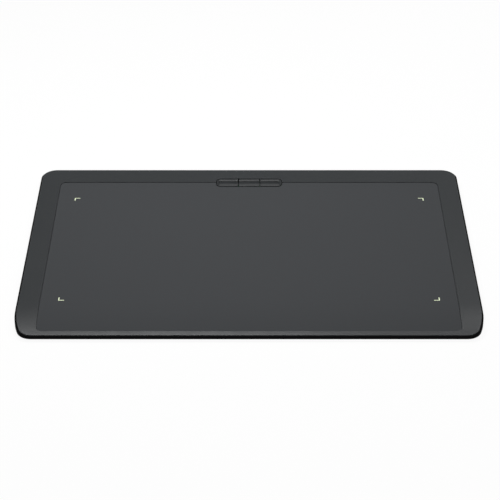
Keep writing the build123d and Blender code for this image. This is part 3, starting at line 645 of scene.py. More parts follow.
@dataclass(frozen=True)
class SmallPlastic(Finish):
    """Plastic of a small moulded part, such as nylon or epoxy.

    Attributes:
        grains: Grains per metre.
        spread: Share by which the tone varies.
    """

    grains: float = 4200.0
    spread: float = 0.06

    def fill(self, tree: Surface) -> None:
        """Adds a fine grain and a little variation of tone and gloss.

        Args:
            tree: The material's nodes.
        """
        grain = tree.grain(self.grains, drift=260.0)
        tone = tree.tones(grain["Tone"], self.colour, 1.0 - self.spread, 1.0 + self.spread)
        rough = tree.vary(grain["Sheen"], self.roughness, spread=0.04)
        tree.give(Base_Color=self.wear(tree, tone), Roughness=rough)
        tree.relief(grain["Height"], self.depth)

    def wear(self, tree: Surface, tone: Socket) -> Socket:
        """Gives the tone as it is, because small plastic shows no wear."""
        return tone


@dataclass(frozen=True)
class Rubber(SmallPlastic):
    """Matt rubber or silicone: coarser grain, and paler where it rubs on the desk.

    Attributes:
        worn: Colour of the rubbed face.
        patches: Share of that colour in the rubbed patches.
        rubbed_below: Height under which the face is rubbed, in metres.
    """

    worn: Colour = (0.05, 0.05, 0.052)
    patches: float = 0.5
    rubbed_below: float = 0.0001

    def wear(self, tree: Surface, tone: Socket) -> Socket:
        """Gives the tone with patches of the rubbed face over it.

        Args:
            tree: The material's nodes.
            tone: The rubber's tone.

        Returns:
            The worn tone.
        """
        low = tree.ramp(tree.axes(tree.place)["Z"], self.rubbed_below, high=0.0)
        patches = tree.noise(tree.place, scale=300.0, detail=3.0, roughness=0.6)
        patchy = tree.ramp(patches, low=0.42, high=0.62)
        return tree.blend(tree.times(low, tree.times(patchy, self.patches)), tone, self.worn)


@dataclass(frozen=True)
class DrawnMetal(Finish):
    """Metal with fine drawn lines.

    Attributes:
        lines: Lines per metre.
        stretch: Share of the pattern kept along each axis; a small share is the lines' own direction.
        spots: Share by which darker spots of oxide show.
    """

    lines: float = 9000.0
    depth: float = 0.000002
    stretch: Point = (0.03, 1.0, 1.0)
    spots: float = 0.1

    def fill(self, tree: Surface) -> None:
        """Adds lines, oxide spots and uneven gloss to metal.

        Args:
            tree: The material's nodes.
        """
        drawn = DrawnLines().place(tree, Place=tree.place, Lines=self.lines, Stretch=self.stretch)
        oxide = tree.noise(tree.place, scale=700.0, detail=4.0, roughness=0.6)
        spots = tree.ramp(oxide, low=0.55, high=0.75, start=0.0, end=self.spots)
        tone = tree.tones(drawn["Tone"], self.colour, low=0.94, high=1.04)
        tree.give(
            Metallic=1.0,
            Base_Color=tree.blend(spots, tone, shade(self.colour, share=0.55)),
            Roughness=tree.vary(drawn["Tone"], self.roughness, spread=0.05),
        )
        tree.relief(drawn["Height"], self.depth)


@dataclass(frozen=True)
class SolderMask(Finish):
    """Circuit board under solder mask, with tracks and vias.

    Attributes:
        track: Colour of the mask over copper.
        via: Colour of a bare via.
        pitch: Pitch of the tracks, in metres.
        fields: Width of a field of tracks, in pitches.
        core: Colour of the board's bare glass-fibre edge.
    """

    track: Colour = (0.03, 0.19, 0.07)
    via: Colour = (0.72, 0.6, 0.34)
    pitch: float = 0.0006
    fields: float = 8.0
    core: Colour = (0.36, 0.37, 0.2)
    depth: float = 0.00002

    def fill(self, tree: Surface) -> None:
        """Adds tracks, vias and the bare fibre of the edges.

        Args:
            tree: The material's nodes.
        """
        place = tree.place
        tracks = BoardTracks().place(tree, Place=place, Pitch=self.pitch, Fields=self.fields)
        masked = tree.blend(tracks["Track"], self.colour, self.track)
        coated = tree.blend(tracks["Via"], masked, self.via)
        facing = tree.axes(tree.add("NewGeometry").outputs["Normal"])["Z"]
        flat = tree.ramp(tree.math("ABSOLUTE", facing), low=0.5, high=0.7)
        fibre = tree.noise(tree.vector("MULTIPLY", place, (0.1, 0.1, 1.0)), scale=9000.0)
        edge = tree.tones(fibre, self.core, low=0.8, high=1.0)
        tree.give(
            Base_Color=tree.blend(flat, edge, coated),
            Roughness=tree.ramp(
                tracks["Via"], low=0.0, high=1.0, start=self.roughness, end=self.roughness - 0.1
            ),
        )
        tree.relief(tracks["Height"], self.depth)


@dataclass(frozen=True)
class RibbonTape(Finish):
    """White polyester ribbon that shows its conductors.

    Attributes:
        conductor: Tone where a conductor lies under the film.
        pitch: Pitch of the conductors, in metres.
    """

    conductor: Colour = (0.62, 0.6, 0.55)
    pitch: float = 0.0005
    depth: float = 0.00002

    def fill(self, tree: Surface) -> None:
        """Adds the conductors' lines and a faint film texture.

        Args:
            tree: The material's nodes.
        """
        across = tree.axes(tree.place)["X"]
        line = EvenLines().place(tree, Along=across, Pitch=self.pitch, Width=0.6)["Line"]
        film = tree.noise(tree.place, scale=1800.0, detail=3.0, roughness=0.6)
        white = tree.tones(film, self.colour, low=0.95, high=1.0)
        tree.give(
            Base_Color=tree.blend(line, white, self.conductor),
            Roughness=tree.vary(film, self.roughness, spread=0.05),
        )
        tree.relief(line, self.depth)


@dataclass(frozen=True)
class FoilPouch(Finish):
    """Laminated foil round a flat cell: soft dents and a faint crosshatch.

    Attributes:
        metal: How metallic the coated foil looks.
        dent_share: Share of the relief that is dents.
    """

    metal: float = 0.85
    dent_share: float = 0.9
    depth: float = 0.00012

    def fill(self, tree: Surface) -> None:
        """Adds dents, crosshatch and uneven gloss to coated foil.

        Args:
            tree: The material's nodes.
        """
        hatch = DrawnLines().place(tree, Place=tree.place, Lines=5200.0, Stretch=(0.15, 1.0, 1.0))
        dents = tree.noise(tree.place, scale=70.0, detail=3.0)
        soft = tree.times(dents, self.dent_share)
        height = tree.math("ADD", soft, tree.times(hatch["Height"], 1.0 - self.dent_share))
        tree.give(
            Metallic=self.metal,
            Base_Color=tree.tones(dents, self.colour, low=0.9, high=1.05),
            Roughness=tree.vary(hatch["Tone"], self.roughness, spread=0.06),
        )
        tree.relief(height, self.depth)


@dataclass(frozen=True)
class ClearTape(Finish):
    """Thin adhesive or polyimide tape, slightly wrinkled.

    Attributes:
        cover: How much of what lies under it the tape hides.
    """

    cover: float = 0.8
    depth: float = 0.00003

    def fill(self, tree: Surface) -> None:
        """Adds wrinkles and a patchy cover.

        Args:
            tree: The material's nodes.
        """
        wrinkles = tree.noise(tree.place, scale=240.0, detail=4.0, roughness=0.6)
        tone = tree.tones(wrinkles, self.colour, low=0.9, high=1.06)
        tree.give(Base_Color=tone, Alpha=tree.vary(wrinkles, self.cover, spread=0.06))
        tree.relief(wrinkles, self.depth)


TOP_PLASTIC = ShellPlastic("satin_shell_plastic", "top_plastic", (0.0264, 0.0295, 0.0317), 0.42, 0.25)
# The tray's underside tone is painted 4.5 times lighter, painted light standing in for light that hardly
# reaches it.
BOTTOM_PLASTIC = ShellPlastic(
    "matt_tray_plastic", "bottom_plastic", (0.0036, 0.0036, 0.0038), 0.6, 0.018,
    grains=1900.0, depth=0.000012, polish=0.1, underside_painted_lift=4.5,
)
BUTTON_PLASTIC = SmallPlastic(
    "satin_cap_plastic", "button_plastic", (0.0228, 0.0252, 0.027), 0.4, 0.24,
    grains=3000.0, depth=0.000004, spread=0.02,
)
DRAWING_FILM = DrawingFilm("paper_feel_film", "drawing_film", (0.0582, 0.0612, 0.0647), 0.75, 0.05)
MARK_LIGHT = LitGuide("milky_light_guide", "mark_light", (0.30, 0.31, 0.24), 0.35, 0.5)
LAMP = LitGuide("lamp_lens", "lamp", (0.7, 0.66, 0.4), 0.25, 0.5, glow=(0.7, 0.72, 0.5))
STATUS_PIPE = ClearPipe("clear_acrylic", "status_pipe", (0.95, 0.96, 0.96), 0.04, 0.5)
MAIN_MASK = SolderMask("main_board_mask", "circuit_board", (0.006, 0.02, 0.012), 0.38, 0.5)
SENSOR_MASK = SolderMask(
    "sensor_board_mask", "circuit_board", (0.014, 0.1, 0.04), 0.4, 0.5, pitch=0.0016, fields=14.0
)
SHIELD_FOIL = DrawnMetal(
    "rolled_shield_foil", "shield_foil", (0.7, 0.71, 0.72), 0.32, 0.5, lines=3200.0, depth=0.000004
)
SCREW_STEEL = DrawnMetal(
    "blackened_screw_steel", "screw_steel", (0.12, 0.12, 0.125), 0.35, 0.5,
    lines=6000.0, stretch=(1.0, 1.0, 0.1), spots=0.3,
)
TIN_STEEL = DrawnMetal("tinned_steel", "tin_steel", (0.74, 0.74, 0.75), 0.24, 0.5)
GOLD_PLATE = DrawnMetal("gold_plate", "tin_steel", (0.86, 0.64, 0.3), 0.2, 0.5, spots=0.02)
CHIP_EPOXY = SmallPlastic("chip_epoxy", "chip", (0.02, 0.02, 0.022), 0.55, 0.4, depth=0.000006)
WHITE_NYLON = SmallPlastic("white_socket_nylon", "white_nylon", (0.76, 0.75, 0.7), 0.5, 0.4)
BLACK_NYLON = SmallPlastic("black_housing_nylon", "black_nylon", (0.02, 0.02, 0.021), 0.5, 0.35)
PLUNGER_NYLON = SmallPlastic("plunger_nylon", "plunger", (0.5, 0.5, 0.5), 0.45, 0.4)
RIBBON = RibbonTape("ribbon_tape", "ribbon", (0.85, 0.84, 0.8), 0.45, 0.4)
POUCH = FoilPouch("foil_pouch", "pouch", (0.6, 0.61, 0.62), 0.38, 0.5)
WIRE_RED = Rubber("red_silicone", "wire_red", (0.5, 0.02, 0.02), 0.45, 0.4, worn=(0.5, 0.02, 0.02))
WIRE_BLACK = Rubber("black_silicone", "wire_black", (0.018, 0.018, 0.018), 0.45, 0.4)
FOOT_RUBBER = Rubber(
    "matt_foot_rubber", "foot_rubber", (0.022, 0.022, 0.024), 0.8, 0.25, grains=1600.0, depth=0.00001
)
ADHESIVE = ClearTape("adhesive_film", "adhesive", (0.6, 0.6, 0.58), 0.4, 0.4, cover=0.6)
AMBER_TAPE = ClearTape("amber_tape", "adhesive", (0.5, 0.22, 0.03), 0.3, 0.5, cover=0.85)
CERAMIC = SmallPlastic("capacitor_ceramic", "chip", (0.42, 0.3, 0.19), 0.5, 0.4, spread=0.12)
FERRITE = SmallPlastic("inductor_ferrite", "chip", (0.06, 0.06, 0.062), 0.7, 0.3, spread=0.15)


# Shapes


def put(name: str, data: bpy.types.ID) -> bpy.types.Object:
    """Puts a new object into the scene.

    Args:
        name: The object's name.
        data: Its mesh, lamp or camera.

    Returns:
        The object.
    """
    made = bpy.data.objects.new(name, data)
    bpy.context.scene.collection.objects.link(made)
    return made


@dataclass
class Mesher:
    """Builds one new piece from bmesh operators.

    Attributes:
        name: The piece's name.
        body: The frame's body that it rides on.
        shape: The mesh that grows.
    """

    name: str
    body: str = CASE
    shape: bmesh.types.BMesh = field(default_factory=bmesh.new)

    def soften(self, edges: Iterable[bmesh.types.BMEdge], width: float) -> None:
        """Bevels some edges in two steps.

        Args:
            edges: The edges.
            width: Width of the bevel.
        """
        bmesh.ops.bevel(
            self.shape, geom=list(edges), offset=width, segments=2, profile=0.5, affect="EDGES", material=-1
        )

    def paint(self, corners: Iterable[bmesh.types.BMVert], finish: int) -> None:
        """Gives a material's index to the faces that meet at some corners."""
        for face in {face for corner in corners for face in corner.link_faces}:
            face.material_index = finish

    def block(self, centre: Point, size: Point, edge: float, finish: int = 0) -> None:
        """Adds a block with softened edges.

        Args:
            centre: Its middle.
            size: Its width, depth and height.
            edge: Width of the bevel along its edges.
            finish: Index of its material.
        """
        place = Matrix.LocRotScale(Vector(centre), None, Vector(size))
        corners = bmesh.ops.create_cube(self.shape, size=1.0, matrix=place)["verts"]
        self.paint(corners, finish)
        self.soften({line for corner in corners for line in corner.link_edges}, edge)

    def ends(self, centre: Point, reach: Point, size: Point, edge: float) -> None:
        """Adds a metal end at both sides of a part, with the part's second material.

        Args:
            centre: Middle between the ends.
            reach: From there to the middle of one end.
            size: Width, depth and height of an end.
            edge: Width of the bevel along its edges.
        """
        for side in BOTH_SIDES:
            place = tuple(start + side * step for start, step in zip(centre, reach))
            self.block(place, size, edge, 1)

    def post(
        self, centre: Point, radius: float, height: float, sides: int, edge: float, finish: int = 0
    ) -> None:
        """Adds an upright round post with softened rims.

        Args:
            centre: Its middle.
            radius: Its radius.
            height: Its height.
            sides: Sides of the circle.
            edge: Width of the bevel round both rims.
            finish: Index of its material.
        """
        corners = bmesh.ops.create_cone(
            self.shape, cap_ends=True, segments=sides, radius1=radius, radius2=radius, depth=height,
            matrix=Matrix.Translation(centre),
        )["verts"]
        self.paint(corners, finish)
        lines = {line for corner in corners for line in corner.link_edges}
        self.soften([line for line in lines if abs(line.verts[0].co.z - line.verts[1].co.z) < LEVEL], edge)

    def ring(self, centre: Point, opening: float, side: float, height: float) -> None:
        """Adds a flat square plate with a round opening.

        Args:
            centre: Its middle, at its lower face.
            opening: Radius of the opening.
            side: Length of the plate's sides.
            height: Its thickness.
        """
        place, half = Matrix.Translation(centre), side / 2
        rings = [
            bmesh.ops.create_circle(self.shape, cap_ends=False, segments=32, radius=radius, matrix=place)
            for radius in (opening, half)
        ]
        circle, square = (made["verts"] for made in rings)
        for corner in square:
            offset = corner.co - Vector(centre)
            corner.co = Vector(centre) + offset * (half / max(abs(offset.x), abs(offset.y)))
        lines = {line for corner in circle + square for line in corner.link_edges}
        joined = bmesh.ops.bridge_loops(self.shape, edges=list(lines))["faces"]
        raised = bmesh.ops.extrude_face_region(self.shape, geom=joined)["geom"]
        top = [part for part in raised if isinstance(part, bmesh.types.BMVert)]
        bmesh.ops.translate(self.shape, vec=(0.0, 0.0, height), verts=top)

    def finish(self, *finishes: Finish, smooth: bool = True) -> None:
        """Makes the piece, dresses it and lets it ride on its body.

        Args:
            *finishes: Its finishes, in the order of the material indices.
            smooth: Whether it is shaded smooth, but for its sharp edges.
        """
        bmesh.ops.remove_doubles(self.shape, verts=self.shape.verts, dist=WELD)
        bmesh.ops.recalc_face_normals(self.shape, faces=self.shape.faces)
        self.shape.normal_update()
        for face in self.shape.faces:
            face.smooth = smooth
        for edge in self.shape.edges:
            edge.smooth = not smooth or edge.calc_face_angle(math.pi) < SHARP_EDGE
        mesh = bpy.data.meshes.new(self.name)
        self.shape.to_mesh(mesh)
        self.shape.free()
        piece = put(self.name, mesh)
        for finish in finishes:
            mesh.materials.append(finish.material())
        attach(piece, self.body)
        LOG.info("built %s: %d faces on %s", self.name, len(mesh.polygons), self.body)


def middle(node: str) -> Vector:
    """Gives the middle of one of the frame's nodes."""
    low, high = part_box(node)
    return (low + high) / 2


# Sub-assemblies


@dataclass
class SubAssembly:
    """Some of the frame's nodes with their finishes, and the small pieces that belong to them.

    Attributes:
        finishes: Finish of each node.
    """

    finishes: ClassVar[dict[str, Finish]] = {}

    def build(self) -> None:
        """Adds nothing, where the frame has every piece."""

    def dress(self) -> None:
        """Gives each node its finish."""
        for node, finish in self.finishes.items():
            finish.dress(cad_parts[node])
            LOG.info("dressed %s with %s", node, finish.name)


@dataclass
class Case(SubAssembly):
    """Upper and lower shell with the screws that hold them and the feet under them."""

    finishes = {
        "top_shell": TOP_PLASTIC,
        "bottom_shell": BOTTOM_PLASTIC,
        "case_screws": SCREW_STEEL,
        **{"foot_" + corner.value: FOOT_RUBBER for corner in Corner},
    }


@dataclass
class DrawingPanel(SubAssembly):
    """Drawing film, its adhesive, and the lit corner marks of the active area with their lamps."""

    finishes = {
        "drawing_surface": DRAWING_FILM,
        "surface_adhesive": ADHESIVE,
        "corner_lamps": LAMP,
        **{"corner_light_" + corner.value: MARK_LIGHT for corner in Corner},
    }


@dataclass
class ButtonStrip(SubAssembly):
    """Three button caps over tactile switches.

    Attributes:
        cover_thickness: Thickness of a switch's metal cover.
        cover_inset: How far the cover stays in from the housing's sides.
        opening_gap: Room round the plunger in the cover.
        rivet_radius: Radius of the four heads that hold the cover.
        rivet_height: Height of those heads.
        rivet_sides: Sides of their circle.
    """

    finishes = {
        part + key.value: finish
        for key in Key
        for part, finish in (
            ("button_", BUTTON_PLASTIC), ("switch_body_", BLACK_NYLON), ("switch_plunger_", PLUNGER_NYLON)
        )
    }
    cover_thickness: float = 0.1 * MM
    cover_inset: float = 0.1 * MM
    opening_gap: float = 0.15 * MM
    rivet_radius: float = 0.32 * MM
    rivet_height: float = 0.08 * MM
    rivet_sides: int = 16

    def build(self) -> None:
        """Adds the metal cover of each switch."""
        for key in Key:
            low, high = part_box("switch_body_" + key.value)
            plunger_low, plunger_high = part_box("switch_plunger_" + key.value)
            centre = (low + high) / 2
            side = high.x - low.x - 2 * self.cover_inset
            opening = (plunger_high.x - plunger_low.x) / 2 + self.opening_gap
            cover = Mesher("switch_cover_" + key.value)
            cover.ring((centre.x, centre.y, high.z), opening, side, self.cover_thickness)
            reach = side / 2 - 2 * self.rivet_radius
            top = high.z + self.cover_thickness + self.rivet_height / 2
            for across in BOTH_SIDES:
                for along in BOTH_SIDES:
                    place = (centre.x + across * reach, centre.y + along * reach, top)
                    edge = self.rivet_height / 3
                    cover.post(place, self.rivet_radius, self.rivet_height, self.rivet_sides, edge, finish=1)
            cover.finish(TIN_STEEL, BLACK_NYLON)


@dataclass(frozen=True)
class PartRow:
    """A row of small two-ended parts beside a chip.

    Attributes:
        beside: The chip's node.
        x: Place of the first part across, from the chip's middle.
        y: Its place along.
        count: How many parts there are.
        run: The way that each one lies, side by side with the next.
        finish: Index of their bodies' material.
    """

    beside: str
    x: float
    y: float
    count: int
    run: Run
    finish: int = 0


@dataclass
class MainBoard(SubAssembly):
    """Main board with its chips, socket and rows of small parts.

    Attributes:
        rows: The rows of small parts.
        pitch: Pitch of the parts in a row.
        length: Length of a part.
        width: Its width.
        height: Its height.
        edge: Softening of its edges.
        end_share: Share of the length that each metal end takes.
        body_share: Share of the part's length and of its width that the body has.
        body_rise: Share of the ends' height that the body has.
    """

    finishes = {
        "main_board": MAIN_MASK,
        "wireless_board": MAIN_MASK,
        "wireless_lid": TIN_STEEL,
        "processor_chip": CHIP_EPOXY,
        "charger_chip": CHIP_EPOXY,
        "board_screws": SCREW_STEEL,
        "main_ribbon_socket": WHITE_NYLON,
    }
    rows: tuple[PartRow, ...] = (
        PartRow("processor_chip", -7 * MM, -4 * MM, 5, Run.ACROSS),
        PartRow("processor_chip", 7 * MM, -4 * MM, 5, Run.ACROSS),
        PartRow("processor_chip", -4 * MM, 6.5 * MM, 5, Run.ALONG, 2),
        PartRow("charger_chip", -2 * MM, 4.5 * MM, 3, Run.ALONG),
        PartRow("charger_chip", 5 * MM, -3 * MM, 4, Run.ACROSS, 2),
        PartRow("wireless_board", 9.5 * MM, -4 * MM, 4, Run.ACROSS),
    )
    pitch: float = 1.9 * MM
    length: float = 1.6 * MM
    width: float = 0.8 * MM
    height: float = 0.55 * MM
    edge: float = 0.05 * MM
    end_share: float = 0.2
    body_share: float = 0.96
    body_rise: float = 0.94

    def build(self) -> None:
        """Adds the rows of small parts."""
        middle_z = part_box("main_board")[1].z + self.height / 2
        parts = Mesher("board_parts")
        for row in self.rows:
            chip = middle(row.beside)
            step = row.run.lay(0.0, self.pitch)
            for index in range(row.count):
                place = (chip.x + row.x + step[0] * index, chip.y + row.y + step[1] * index, middle_z)
                self.build_part(parts, place, row)
        parts.finish(CERAMIC, TIN_STEEL, CHIP_EPOXY)

    def build_part(self, parts: Mesher, place: Point, row: PartRow) -> None:
        """Adds one small part with its two metal ends.

        Args:
            parts: The piece that the part joins.
            place: Middle of the part.
            row: The row that it stands in.
        """
        body = row.run.lay(self.length * self.body_share, self.width * self.body_share)
        end = row.run.lay(self.length * self.end_share, self.width)
        reach = row.run.lay(self.length * (1 - self.end_share) / 2, 0.0)
        parts.block(place, (*body, self.height * self.body_rise), self.edge, row.finish)
        parts.ends(place, (*reach, 0.0), (*end, self.height), self.edge)


@dataclass
class ChargerInductor(SubAssembly):
    """The charger's inductor on the main board.

    Attributes:
        offset: From the charging chip's middle to the right.
        side: Width and depth of its body.
        height: Height of its body.
        edge: Softening of its body.
        dot_radius: Radius of the core's face on top.
        dot_height: Thickness of that face.
        dot_middle: Height of that face's middle over the board.
        dot_edge: Softening of its rims.
        pad: Width, depth and height of a metal end.
        pad_reach: From the body's middle to a metal end's.
        pad_edge: Softening of a metal end.
    """

    offset: float = 12 * MM
    side: float = 4 * MM
    height: float = 1.5 * MM
    edge: float = 0.35 * MM
    dot_radius: float = 1.2 * MM
    dot_height: float = 0.06 * MM
    dot_middle: float = 1.52 * MM
    dot_edge: float = 0.02 * MM
    pad: Point = (0.5 * MM, 2.4 * MM, 0.4 * MM)
    pad_reach: float = 2.05 * MM
    pad_edge: float = 0.08 * MM

    def build(self) -> None:
        """Adds the body, the core's face and the metal ends."""
        chip, top = middle("charger_chip"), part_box("main_board")[1].z
        x, y = chip.x + self.offset, chip.y
        coil = Mesher("charger_inductor")
        coil.block((x, y, top + self.height / 2), (self.side, self.side, self.height), self.edge)
        coil.post(
            (x, y, top + self.dot_middle), self.dot_radius, self.dot_height, sides=32, edge=self.dot_edge
        )
        coil.ends((x, y, top + self.pad[2] / 2), (self.pad_reach, 0.0, 0.0), self.pad, self.pad_edge)
        coil.finish(FERRITE, TIN_STEEL)


@dataclass
class CrystalCan(SubAssembly):
    """The processor's crystal in its metal can.

    Attributes:
        offset: From the processor's middle to the left.
        base: Width, depth and height of the ceramic base.
        base_edge: Softening of the base.
        can: Width, depth and height of the can.
        can_edge: Softening of the can.
    """

    offset: float = 12 * MM
    base: Point = (3.2 * MM, 2.5 * MM, 0.3 * MM)
    base_edge: float = 0.06 * MM
    can: Point = (2.9 * MM, 2.2 * MM, 0.8 * MM)
    can_edge: float = 0.18 * MM

    def build(self) -> None:
        """Adds the base and the can."""
        chip, top = middle("processor_chip"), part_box("main_board")[1].z
        crystal = Mesher("crystal_can")
        for size, edge, finish in ((self.base, self.base_edge, 1), (self.can, self.can_edge, 0)):
            crystal.block((chip.x - self.offset, chip.y, top + size[2] / 2), size, edge, finish)
        crystal.finish(TIN_STEEL, CERAMIC)


@dataclass
class ChipAntenna(SubAssembly):
    """Chip antenna on the wireless board, clear of the metal lid.

    Attributes:
        length: Length of its body.
        height: Height of its body.
        edge: Softening of its edges.
        body_share: Share of the free strip beside the lid that its body is deep.
        end_share: Share of that strip that a metal end is deep.
        end_width: Width of a metal end.
        end_height: Height of a metal end.
        end_reach: From the body's middle to a metal end's.
    """

    length: float = 5.0 * MM
    height: float = 0.4 * MM
    edge: float = 0.05 * MM
    body_share: float = 0.8
    end_share: float = 0.84
    end_width: float = 0.5 * MM
    end_height: float = 0.42 * MM
    end_reach: float = 2.3 * MM

    def build(self) -> None:
        """Adds the body and the metal ends."""
        low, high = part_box("wireless_board")
        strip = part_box("wireless_lid")[0].y - low.y
        place = ((low.x + high.x) / 2, low.y + strip / 2, high.z + self.height / 2)
        antenna = Mesher("chip_antenna")
        antenna.block(place, (self.length, strip * self.body_share, self.height), self.edge)
        end = (self.end_width, strip * self.end_share, self.end_height)
        antenna.ends(place, (self.end_reach, 0.0, 0.0), end, self.edge)
        antenna.finish(WHITE_NYLON, TIN_STEEL)


@dataclass
class SensorStack(SubAssembly):
    """Sensor board under the panel, its shield, its socket and the ribbon to the main board."""

    finishes = {
        "sensor_board": SENSOR_MASK,
        "shield_sheet": SHIELD_FOIL,
        "sensor_ribbon_socket": WHITE_NYLON,
        "ribbon_cable": RIBBON,
    }


@dataclass
class UsbSocket(SubAssembly):
    """USB-C socket at the back edge, with gold contacts on its tongue.

    Attributes:
        contacts: Contacts on each face of the tongue.
        pitch: Pitch of the contacts.
        contact_width: Width of a contact.
        contact_length: Length of a contact.
        contact_height: How far a contact stands on the tongue.
        setback: How far the contacts stay behind the tongue's front edge.
        long_ones: The power and ground contacts, counted from 0.
        lead: How much longer and further forward those are.
        tongue_half: Half the tongue's thickness.
    """

    finishes = {"usb_socket_shell": TIN_STEEL, "usb_tongue": BLACK_NYLON}
    contacts: int = 12
    pitch: float = 0.5 * MM
    contact_width: float = 0.28 * MM
    contact_length: float = 3.4 * MM
    contact_height: float = 0.03 * MM
    setback: float = 0.5 * MM
    long_ones: tuple[int, ...] = (0, 3, 8, 11)
    lead: float = 0.25 * MM
    tongue_half: float = 0.35 * MM

    def build(self) -> None:
        """Adds the contacts on both faces of the tongue."""
        low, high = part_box("usb_tongue")
        centre = (low + high) / 2
        contacts = Mesher("usb_contacts")
        for face in BOTH_SIDES:
            z = centre.z + face * (self.tongue_half + self.contact_height / 2)
            for index in range(self.contacts):
                lead = self.lead if index in self.long_ones else 0.0
                length = self.contact_length + lead
                x = centre.x + (index - (self.contacts - 1) / 2) * self.pitch
                y = high.y - self.setback + lead - length / 2
                size = (self.contact_width, length, self.contact_height)
                contacts.block((x, y, z), size, self.contact_height / 3)
        contacts.finish(GOLD_PLATE, smooth=False)


@dataclass
class EdgeControls(SubAssembly):
    """Power switch with its slider, and status light with its pipe, at the back edge."""

    finishes = {
        "power_switch_body": BLACK_NYLON,
        "power_slider": BLACK_NYLON,
        "status_lamp": LAMP,
        "status_light_pipe": STATUS_PIPE,
    }


@dataclass
class BatteryPack(SubAssembly):
    """Flat battery with its tape, its lead and its plug.

    Attributes:
        tape_depth: How far the amber tape reaches over the battery's head.
        tape_thickness: Thickness of that tape.
        tape_inset: How far the tape stays in from the battery's sides.
    """

    finishes = {
        "battery": POUCH,
        "battery_tape": ADHESIVE,
        "battery_wire_red": WIRE_RED,
        "battery_wire_black": WIRE_BLACK,
        "battery_plug": WHITE_NYLON,
        "battery_socket": WHITE_NYLON,
    }
    tape_depth: float = 5.0 * MM
    tape_thickness: float = 0.05 * MM
    tape_inset: float = 1.5 * MM

    def build(self) -> None:
        """Adds the amber tape over the battery's head, where its wires leave."""
        low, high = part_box("battery")
        size = (high.x - low.x - 2 * self.tape_inset, self.tape_depth, self.tape_thickness)
        place = ((low.x + high.x) / 2, high.y - self.tape_depth / 2, high.z + self.tape_thickness / 2)
        tape = Mesher("battery_head_tape")
        tape.block(place, size, self.tape_thickness / 4)
        tape.finish(AMBER_TAPE, smooth=False)


@dataclass
class Tablet:
    """The whole tablet.

    Attributes:
        parts: Its sub-assemblies, in the order in which they are built.
    """

    parts: tuple[SubAssembly, ...] = (
        Case(),
        DrawingPanel(),
        ButtonStrip(),
        MainBoard(),
        ChargerInductor(),
        CrystalCan(),
        ChipAntenna(),
        SensorStack(),
        UsbSocket(),
        EdgeControls(),
        BatteryPack(),
    )

    def build(self) -> None:
        """Builds and dresses every sub-assembly."""
        for part in self.parts:
            part.build()
            part.dress()
            LOG.info("finished %s", type(part).__name__)


# Studio


@dataclass(frozen=True)
class SoftBox:
    """A large soft lamp.

    Attributes:
        name: The lamp's name.
        place: Where it hangs.
        target: The point that it faces.
        width: Its width.
        depth: Its depth.
        level: Share of full white that it alone gives to white paper lying flat at the target.
    """

    name: str
    place: Point
    target: Point
    width: float
    depth: float
    level: float

    def build(self) -> None:
        """Hangs the lamp, turns it to its target and sets its power in watts from its level."""
        aim = Vector(self.place) - Vector(self.target)
        data = bpy.data.lights.new(self.name, "AREA")
        data.shape = "RECTANGLE"
        data.size, data.size_y = self.width, self.depth
        data.energy = self.level * math.pi**2 * aim.length_squared / aim.normalized().z
        lamp = put(self.name, data)
        lamp.location = self.place
        lamp.rotation_euler = (-aim).to_track_quat("-Z", "Y").to_euler()
        lamp.visible_camera = False
        LOG.info("hung %s at %.2f W", self.name, data.energy)


@dataclass
class PhotoCamera:
    """Camera that sees the tablet from where the photograph was taken.

    Attributes:
        place: Where it stands.
        pitch: How far it looks down, in degrees.
        lens: Focal length, in millimetres.
        sensor: Width of its sensor, in millimetres.
        nearest: Distance from which it sees things.
        furthest: Distance up to which it sees things.
    """

    place: Point = (0.00066, -1.21505, 0.70408)
    pitch: float = 29.975
    lens: float = 139.26
    sensor: float = 36.0
    nearest: float = 0.05
    furthest: float = 60.0

    def build(self) -> None:
        """Makes the camera and gives it to the scene."""
        data = bpy.data.cameras.new("photo_camera")
        data.lens, data.sensor_width = self.lens, self.sensor
        data.clip_start, data.clip_end = self.nearest, self.furthest
        camera = put("photo_camera", data)
        camera.location = self.place
        camera.rotation_euler = (math.radians(90.0 - self.pitch), 0.0, 0.0)
        bpy.context.scene.camera = camera


